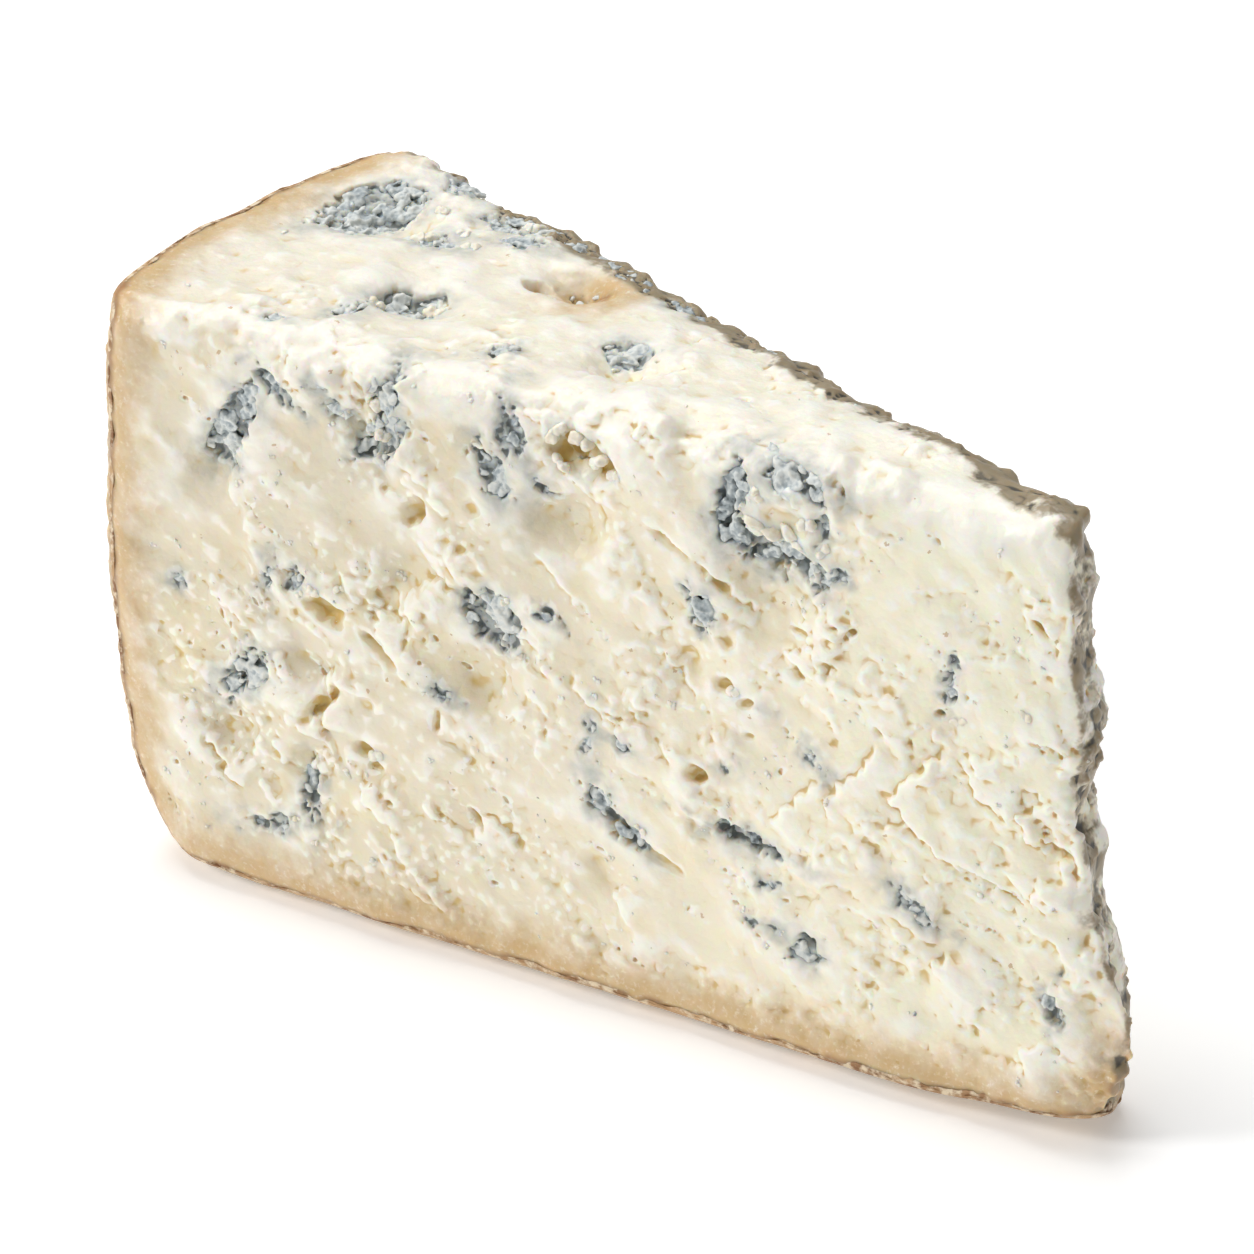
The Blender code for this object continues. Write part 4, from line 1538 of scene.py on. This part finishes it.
class Board:
    """A node tree, with short ways to lay out the nodes that the finishes use."""

    def __init__(self, tree: bpy.types.NodeTree) -> None:
        """Takes hold of a tree."""
        self.tree = tree

    def feed_all(self, sockets: object, values: dict[str, object]) -> None:
        """Feeds sockets by their names, with _ for a space."""
        for key, value in values.items():
            self.feed(sockets[key.replace("_", " ")], value)

    def feed(self, socket: Socket, value: object) -> None:
        """Links a socket to another one, or sets its value."""
        if isinstance(value, Socket):
            self.tree.links.new(value, socket)
        else:
            socket.default_value = value

    def add(self, kind: str, settings: dict | None = None, **sockets: object) -> bpy.types.Node:
        """Adds a node.

        Args:
            kind: The node's type, without its ShaderNode prefix.
            settings: The node's own properties.
            **sockets: Inputs by name: a socket to link or a plain value.

        Returns:
            The node.
        """
        node = self.tree.nodes.new(f"ShaderNode{kind}")
        for key, value in (settings or {}).items():
            setattr(node, key, value)
        self.feed_all(node.inputs, sockets)
        return node

    def attribute(self, name: str) -> Socket:
        """The value of a named attribute."""
        return self.add("Attribute", {"attribute_name": name}).outputs["Fac"]

    def step(self, value: object, low: object, high: object, most: float = 1.0) -> Socket:
        """0 where the value is below low, most where it is above high, and smooth between."""
        ends = {"From_Min": low, "From_Max": high, "To_Max": most}
        made = self.add("MapRange", {"interpolation_type": "SMOOTHSTEP"}, Value=value, **ends)
        return made.outputs["Result"]

    def maths(self, operation: str, *terms: object, kind: str = "Math") -> Socket:
        """The result of a sum on two or three values."""
        node = self.add(kind, {"operation": operation})
        for socket, term in zip(node.inputs, terms):
            self.feed(socket, term)
        return node.outputs[0]

    def times(self, first: object, second: object) -> Socket:
        """Two values multiplied."""
        return self.maths("MULTIPLY", first, second)

    def times_add(self, value: object, share: object, base: object) -> Socket:
        """A share of a value, on top of a base."""
        return self.maths("MULTIPLY_ADD", value, share, base)

    def flip(self, value: Socket) -> Socket:
        """1 less a value."""
        return self.maths("SUBTRACT", 1.0, value)

    def most_of(self, most: Socket, *others: Socket) -> Socket:
        """The greatest of some values."""
        for other in others:
            most = self.maths("MAXIMUM", most, other)
        return most

    def mix(self, share: object, first: object, second: object) -> Socket:
        """Two colours mixed by a share of the second. A display colour is made linear."""
        node = self.add("Mix", {"data_type": "RGBA"})
        for place, value in ((0, share), (6, first), (7, second)):
            self.feed(node.inputs[place], colour(*value) if isinstance(value, tuple) else value)
        return node.outputs[2]

    def layer(self, tint: object, *coats: tuple[Socket, object]) -> Socket:
        """A colour under some coats, each given as its share and its own colour."""
        for share, coat in coats:
            tint = self.mix(share, tint, coat)
        return tint

    def group(self, tree: bpy.types.NodeTree, **sockets: object) -> Socket:
        """Places a node group, feeds its inputs, and gives its output."""
        node = self.tree.nodes.new("ShaderNodeGroup")
        node.node_tree = tree
        self.feed_all(node.inputs, sockets)
        return node.outputs[0]


class Group(Board):
    """A node group that reads a place and some numbers and puts out one number."""

    def __init__(self, name: str, numbers: tuple[str, ...], output: str) -> None:
        """Starts the group with its sockets.

        Args:
            name: The group's name.
            numbers: Names of its inputs, beside the place.
            output: Name of its output.
        """
        super().__init__(bpy.data.node_groups.new(name, "ShaderNodeTree"))
        face = self.tree.interface
        face.new_socket("Vector", in_out="INPUT", socket_type="NodeSocketVector")
        for title in numbers:
            face.new_socket(title, in_out="INPUT", socket_type="NodeSocketFloat")
        face.new_socket(output, in_out="OUTPUT", socket_type="NodeSocketFloat")
        self.entry = self.tree.nodes.new("NodeGroupInput").outputs
        self.leave = self.tree.nodes.new("NodeGroupOutput").inputs

    def noise(self, scale: object, detail: object, **more: object) -> Socket:
        """Noise at the group's place."""
        sockets = {"Vector": self.entry["Vector"], "Scale": scale, "Detail": detail, **more}
        return self.add("TexNoise", **sockets).outputs["Fac"]

    def close(self, result: Socket) -> bpy.types.NodeTree:
        """Puts out the result, and gives the finished group."""
        self.feed(self.leave[0], result)
        return self.tree


class SharedEffects:
    """The node groups that several finishes share, each built once."""

    def __init__(self) -> None:
        """Builds the groups."""
        self.patches = self.build_patches()
        self.grain = self.build_grain()
        self.specks = self.build_specks()

    @staticmethod
    def build_patches() -> bpy.types.NodeTree:
        """Soft patches of noise between two levels."""
        board = Group("patches", ("Scale", "Detail", "Low", "High"), "Mask")
        entry = board.entry
        cloud = board.noise(entry["Scale"], entry["Detail"], Roughness=0.6)
        return board.close(board.step(cloud, entry["Low"], entry["High"]))

    @staticmethod
    def build_grain() -> bpy.types.NodeTree:
        """Fine curdled relief: soft grains with a finer roughness on them."""
        board = Group("curd_grain", ("Grain Scale", "Fine Scale", "Fine Share"), "Height")
        entry = board.entry
        reach = (0.0004, 0.0004, 0.0004)
        warp = board.add("TexNoise", Vector=entry["Vector"], Scale=900.0, Detail=1.0)
        terms = (warp.outputs["Color"], reach, entry["Vector"])
        bent = board.maths("MULTIPLY_ADD", *terms, kind="VectorMath")
        cells = board.add("TexVoronoi", Vector=bent, Scale=entry["Grain Scale"])
        fine = board.noise(entry["Fine Scale"], 3.0, Roughness=0.6)
        part = board.times(fine, entry["Fine Share"])
        return board.close(board.maths("SUBTRACT", part, cells.outputs["Distance"]))

    @staticmethod
    def build_specks() -> bpy.types.NodeTree:
        """Scattered small specks."""
        board = Group("specks", ("Scale", "Size", "Share"), "Mask")
        entry = board.entry
        cells = board.add("TexVoronoi", Vector=entry["Vector"], Scale=entry["Scale"])
        split = board.add("SeparateColor", Color=cells.outputs["Color"])
        chosen = board.maths("LESS_THAN", split.outputs["Red"], entry["Share"])
        gap = board.times_add(board.noise(2600.0, 1.0), 0.30, cells.outputs["Distance"])
        inside = board.maths("LESS_THAN", gap, entry["Size"])
        return board.close(board.times(inside, chosen))


class Easel(Board):
    """A new material's board, with its shader, its Object coordinates and the shared groups."""

    def __init__(self, name: str, effects: SharedEffects | None = None) -> None:
        """Starts a material of that name."""
        self.material = bpy.data.materials.new(name)
        self.material.use_nodes = True
        super().__init__(self.material.node_tree)
        self.effects = effects
        self.shader = self.tree.nodes["Principled BSDF"].inputs
        self.where = self.add("TexCoord").outputs["Object"]

    def paint(self, **sockets: object) -> None:
        """Feeds the shader's inputs by their names."""
        self.feed_all(self.shader, sockets)

    def sink_light(self, weight: float, radius: tuple[float, ...], scale: float) -> None:
        """Lets light sink into the skin, by that scale in metres."""
        self.paint(Subsurface_Weight=weight, Subsurface_Radius=radius, Subsurface_Scale=scale)

    def patch(self, scale: float, low: float, high: float, detail: float = 3.0) -> Socket:
        """Soft patches of noise between two levels."""
        levels = {"Scale": scale, "Detail": detail, "Low": low, "High": high}
        return self.group(self.effects.patches, Vector=self.where, **levels)

    def curdle(
        self, scales: tuple[float, float, float], strength: float, depth: float, swell: float = 0.0
    ) -> None:
        """Gives the skin its fine curdled bump.

        Args:
            scales: Of the grains and the finer roughness on them, and the latter's share.
            strength: Strength of the bump.
            depth: Depth of the bump in metres.
            swell: Share of a broader swell under it.
        """
        grain, fine, share = scales
        sizes = {"Grain_Scale": grain, "Fine_Scale": fine, "Fine_Share": share}
        height = self.group(self.effects.grain, Vector=self.where, **sizes)
        if swell:
            broad = self.add("TexNoise", Vector=self.where, Scale=420.0, Detail=2.0)
            height = self.times_add(broad.outputs["Fac"], swell, height)
        bump = self.add("Bump", Height=height, Strength=strength, Distance=depth)
        self.paint(Normal=bump.outputs["Normal"])


class Finish:
    """What the finishes share: each one paints a material of its own title."""

    title = ""

    def cover(self, board: Easel) -> None:
        """Lays out the material's nodes, which each finish does in its own way."""
        raise NotImplementedError

    def build(self, effects: SharedEffects) -> bpy.types.Material:
        """Makes the material.

        Args:
            effects: The shared node groups.

        Returns:
            The material.
        """
        board = Easel(self.title, effects)
        self.cover(board)
        return board.material


@dataclass(frozen=True)
class PasteFinish(Finish):
    """Damp cream paste that light sinks into, with its blue halos, tan rim and skin of rind."""

    title = "paste"
    cream: Tone = (231, 222, 200)
    warm: Tone = (232, 220, 188)
    clear: Tone = (229, 222, 205)
    # Painted shade for the broad hollows.
    dale: Tone = (226, 210, 174)
    # White curd, also used as a painted highlight on raised parts and along the top.
    curd: Tone = (247, 244, 234)
    # Painted light: the lighter cream towards the tip.
    fresh: Tone = (250, 241, 219)
    # Painted olive shade for nooks and deep hollows.
    nook: Tone = (222, 188, 98)
    halo: Tone = (180, 184, 179)
    pale_coat: Tone = (216, 219, 213)
    coat: Tone = (178, 183, 181)
    # Painted shade for mould deep in the pockets and in nooks, also used in random patches.
    deep_coat: Tone = (120, 123, 119)
    tan: Tone = (204, 169, 108)
    edge: Tone = (158, 110, 66)
    rind: Tone = (203, 175, 136)
    rind_grey: Tone = (176, 162, 142)
    rind_white: Tone = (228, 214, 188)
    rind_rust: Tone = (178, 124, 76)
    # Smear and painted shade by the back edge and on the tip.
    smear: Tone = (152, 137, 109)
    # Grime and painted shade in the grooves of that smear.
    grime_and_groove_shade: Tone = (80, 77, 70)
    speck: Tone = (190, 150, 92)

    def cover(self, board: Easel) -> None:
        """Lays out the paste's colour, wetness and grain."""
        tint = self.rind_colour(board, self.blue_colour(board, self.paste_colour(board)))
        rough = board.most_of(
            board.times_add(board.patch(260.0, 0.35, 0.7, 2.0), 0.16, 0.34),
            board.times(board.attribute("coat"), 0.8),
            board.times(board.attribute("rind"), 0.62),
        )
        board.paint(Base_Color=tint, Roughness=rough)
        board.curdle((900.0, 2300.0, 0.55), 0.32, 0.00022, 1.3)
        board.sink_light(1.0, (1.0, 0.62, 0.30), 0.0016)

    def paste_colour(self, board: Easel) -> Socket:
        """Cream with warm and clear patches, painted light on raised curd, the top and the tip
        side, and painted olive shade in the nooks.
        """
        split = board.add("SeparateXYZ", Vector=board.where).outputs
        dale, nook = board.attribute("dale"), board.attribute("nook")
        hill = board.times(dale, -1.0)
        knoll, summit = board.step(hill, 0.0, 0.35, 0.7), board.step(hill, 0.5, 1.1, 0.5)
        sizes = {"Scale": 330.0, "Size": 0.24, "Share": 0.16}
        specks = board.group(board.effects.specks, Vector=board.where, **sizes)
        return board.layer(
            self.cream,
            (board.patch(70.0, 0.42, 0.72), self.warm),
            (board.times(board.patch(110.0, 0.48, 0.70), 0.3), self.clear),
            # Painted light: the cream turns lighter towards the tip, along X.
            (board.step(split["X"], -0.045, 0.06, 0.95), self.fresh),
            # Whiter on broad raised parts: partly whiter curd, partly a painted highlight.
            (board.maths("SUBTRACT", knoll, summit), self.curd),
            # Painted shade: warm tan in the broad hollows.
            (board.step(dale, 0.08, 0.5, 0.22), self.dale),
            # Painted light: a whiter band along the top.
            (board.step(split["Z"], 0.079, 0.085, 0.4), self.curd),
            # Whiter on fine raised edges: partly curd, partly a painted highlight.
            (board.step(board.times(nook, -1.0), 0.02, 0.08, 0.75), self.curd),
            # Painted shade: olive in the fine nooks.
            (board.step(nook, 0.05, 0.16, 0.75), self.nook),
            # Painted shade: olive deep in the eyes and pockets.
            (board.step(board.attribute("below"), 0.5, 2.4, 0.3), self.nook),
            (board.times(specks, 0.6), self.speck),
        )

    def blue_colour(self, board: Easel, tint: Socket) -> Socket:
        """The halos round the pockets, and the mould that coats their walls with painted shade
        where it lies deep or in nooks.
        """
        below, nook = board.attribute("below"), board.attribute("nook")
        # Painted shade deep in the pockets and in nooks, with some random darker patches.
        deep = board.most_of(
            board.step(below, 1.2, 2.6, 0.8),
            board.step(nook, 0.02, 0.12, 0.8),
            board.times(board.patch(900.0, 0.35, 0.68), 0.3),
        )
        # Painted shade: the coat is paler near the rim and darker lower down the walls.
        mould = board.mix(board.step(below, 0.1, 1.1), self.pale_coat, self.coat)
        mould = board.mix(deep, mould, self.deep_coat)
        coat = board.step(board.attribute("coat"), 0.15, 0.85, 0.97)
        halo = board.step(board.attribute("halo"), 0.08, 0.95, 0.85)
        soft = board.times_add(board.patch(420.0, 0.25, 0.75), 0.5, 0.5)
        return board.layer(tint, (board.times(halo, soft), self.halo), (coat, mould))

    def rind_colour(self, board: Easel, tint: Socket) -> Socket:
        """The tan rim of the cut faces, the smear and painted shade by the back edge and on the
        tip, and the mottled rind.
        """
        band, smear = board.attribute("band"), board.attribute("smear")
        wander = board.times_add(board.patch(240.0, 0.2, 0.8), 3.6, band)
        flecks = board.patch(1300.0, 0.5, 0.95)
        rim = board.times(board.flip(board.step(wander, 2.5, 11.5)), board.flip(flecks))
        lip = board.flip(board.step(band, 0.3, 1.7))
        # Smear and painted shade by the back edge and on the tip, broken into patches.
        drift = board.times_add(board.patch(180.0, 0.32, 0.62, 4.0), 0.7, smear)
        share = board.times(board.step(drift, 0.55, 1.05, 0.95), board.step(smear, 0.02, 0.25))
        # Darker still in the grooves there: grime and painted shade.
        grime_and_groove_shade = board.times(share, board.step(board.attribute("nook"), 0.0, 0.10))
        skin = board.layer(
            self.rind,
            (board.times(board.patch(130.0, 0.42, 0.62, 4.0), 0.6), self.rind_grey),
            (board.times(board.patch(75.0, 0.52, 0.72, 4.0), 0.5), self.rind_rust),
            (board.times(board.patch(330.0, 0.50, 0.66, 4.0), 0.5), self.rind_white),
        )
        return board.layer(
            tint,
            (board.times(rim, 0.85), self.tan),
            (board.times(lip, 0.9), self.edge),
            (share, self.smear),
            (grime_and_groove_shade, self.grime_and_groove_shade),
            (board.attribute("rind"), skin),
        )


@dataclass(frozen=True)
class MouldFinish(Finish):
    """Matt granular blue-grey growth, with painted shade making it slate in its gaps and where it
    sits deep, and painted highlight making it pale on its lumps.
    """

    title = "mould"
    dark: Tone = (103, 110, 112)
    middle: Tone = (169, 178, 181)
    pale: Tone = (214, 218, 215)
    curd: Tone = (230, 229, 220)

    def cover(self, board: Easel) -> None:
        """Lays out the growth's colour and grain."""
        level = board.times(board.attribute("pale"), 0.9)
        parts = (
            # Painted shade in the nooks, and painted highlight on the lumps.
            (board.attribute("nook"), -4.5),
            (board.patch(420.0, 0.3, 0.72), 0.5),
            (board.patch(1500.0, 0.32, 0.7), 0.2),
            # Painted shade where the growth sits deep.
            (board.attribute("sunk"), -0.5),
        )
        for part, weight in parts:
            level = board.times_add(part, weight, level)
        tint = board.layer(
            self.dark,
            (board.step(level, 0.0, 0.5), self.middle),
            (board.step(level, 0.45, 1.0), self.pale),
            (board.step(level, 0.95, 1.35, 0.8), self.curd),
        )
        rough = board.maths("SUBTRACT", 0.85, board.step(level, 0.0, 1.0, 0.25))
        board.paint(Base_Color=tint, Roughness=rough)
        board.curdle((1900.0, 4200.0, 0.6), 0.45, 0.00015)
        board.sink_light(0.25, (0.6, 0.6, 0.6), 0.0006)


@dataclass(frozen=True)
class CrumbFinish(Finish):
    """White damp curd."""

    title = "curd"
    white: Tone = (246, 243, 233)
    cream: Tone = (233, 225, 205)

    def cover(self, board: Easel) -> None:
        """Lays out the curd's colour and grain."""
        cloud = board.patch(520.0, 0.3, 0.7)
        tint = board.mix(cloud, self.cream, self.white)
        board.paint(Base_Color=tint, Roughness=board.times_add(cloud, 0.15, 0.36))
        board.curdle((1400.0, 3000.0, 0.5), 0.5, 0.00015)
        board.sink_light(1.0, (1.0, 0.8, 0.55), 0.00012)


@dataclass(frozen=True)
class FrillFinish(Finish):
    """Dry papery rind: brown, with broad tan and fine pale patches."""

    title = "frill"
    pale: Tone = (232, 214, 184)
    tan: Tone = (200, 162, 118)
    brown: Tone = (140, 96, 58)

    def cover(self, board: Easel) -> None:
        """Lays out the lip's colour and grain."""
        fine = board.patch(700.0, 0.42, 0.64)
        broad = board.patch(190.0, 0.35, 0.65)
        tint = board.layer(self.brown, (broad, self.tan), (fine, self.pale))
        board.paint(Base_Color=tint, Roughness=board.times_add(fine, 0.15, 0.55))
        board.curdle((1200.0, 2600.0, 0.8), 0.5, 0.00012)


# ---- The studio ----


@dataclass(frozen=True)
class SoftLight:
    """A large square light that faces the wedge."""

    name: str
    place: tuple[float, ...]
    size: float
    power: float

    def build(self, target: Vector) -> None:
        """Adds the light to the scene, turned to the target."""
        lamp = bpy.data.lights.new(self.name, "AREA")
        lamp.shape = "SQUARE"
        lamp.size = self.size
        lamp.energy = self.power
        stand = bpy.data.objects.new(self.name, lamp)
        stand.location = self.place
        way = target - Vector(self.place)
        stand.rotation_euler = way.to_track_quat("-Z", "Y").to_euler()
        bpy.context.scene.collection.objects.link(stand)


@dataclass
class Studio:
    """A plain pale floor, soft lights and the camera."""

    floor_size: float = 8.0
    floor_drop: float = 0.0003
    sky: float = 0.24
    lights: tuple[SoftLight, ...] = (
        SoftLight("key", (-1.70, -1.45, 1.50), 0.8, 31.2),
        SoftLight("overhead", (-0.30, 0.20, 1.25), 0.9, 11.2),
    )
    azimuth: float = 28.881
    elevation: float = 28.942
    roll: float = -0.404
    distance: float = 0.810384
    target: tuple[float, ...] = (0.005408, -0.027880, 0.056771)
    sensor: float = 36.0
    focal_length: float = 177.876660

    def build(self) -> None:
        """Sets up the floor, the lights and the camera."""
        self.add_floor()
        self.add_sky()
        for light in self.lights:
            light.build(Vector(self.target))
        self.add_camera()
        bpy.context.scene.view_settings.view_transform = "Standard"

    def add_floor(self) -> None:
        """Adds the plain floor, just under the wedge."""
        form = bmesh.new()
        bmesh.ops.create_grid(form, x_segments=1, y_segments=1, size=self.floor_size / 2)
        bmesh.ops.translate(form, verts=form.verts[:], vec=(0.0, 0.0, -self.floor_drop))
        floor = object_from(form, "floor")
        board = Easel("floor")
        board.paint(Base_Color=colour(253, 253, 253), Roughness=0.9, Specular_IOR_Level=0.1)
        board.paint(Emission_Color=(1.0, 1.0, 1.0, 1.0), Emission_Strength=0.22)
        floor.data.materials.append(board.material)

    def add_sky(self) -> None:
        """Adds the even light from all round."""
        world = bpy.data.worlds.new("studio")
        world.use_nodes = True
        background = world.node_tree.nodes["Background"]
        background.inputs["Color"].default_value = (1.0, 1.0, 1.0, 1.0)
        background.inputs["Strength"].default_value = self.sky
        bpy.context.scene.world = world

    def add_camera(self) -> None:
        """Adds the camera, looking down on the front face and the tip."""
        azimuth, elevation = math.radians(self.azimuth), math.radians(self.elevation)
        level = math.cos(elevation)
        back = Vector(
            (math.sin(azimuth) * level, -math.cos(azimuth) * level, math.sin(elevation))
        )
        lens = bpy.data.cameras.new("camera")
        lens.sensor_width = self.sensor
        lens.lens = self.focal_length
        lens.clip_end = 50.0
        camera = bpy.data.objects.new("camera", lens)
        place = Matrix.Translation(Vector(self.target) + back * self.distance)
        upright = back.to_track_quat("Z", "Y").to_matrix().to_4x4()
        twist = Matrix.Rotation(math.radians(self.roll), 4, "Z")
        camera.matrix_world = place @ upright @ twist
        bpy.context.scene.collection.objects.link(camera)
        bpy.context.scene.camera = camera


# ---- Putting it together ----


def dress(piece: Piece, material: bpy.types.Material) -> None:
    """Gives a piece its finish and lets it ride with the wedge."""
    piece.data.materials.clear()
    piece.data.materials.append(material)
    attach(piece, BODY)
    LOG.info("%s: %d triangles", piece.name, triangle_count(piece.data))


def main() -> None:
    """Builds and dresses every piece in order, and sets up the studio."""
    logging.basicConfig(level=logging.INFO, format="%(name)s: %(message)s")
    effects = SharedEffects()
    paste = PasteBody()
    wedge = paste.build()
    dress(wedge, PasteFinish().build(effects))
    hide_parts(NODE)
    mould = MouldFinish().build(effects)
    for side in (FRONT, TOP, BACK):
        dress(MouldGrowth(side).build(paste), mould)
    dress(CurdCrumbs().build(paste), CrumbFinish().build(effects))
    dress(RindFrill().build(paste), FrillFinish().build(effects))
    Studio().build()


if __name__ == "__main__":
    main()
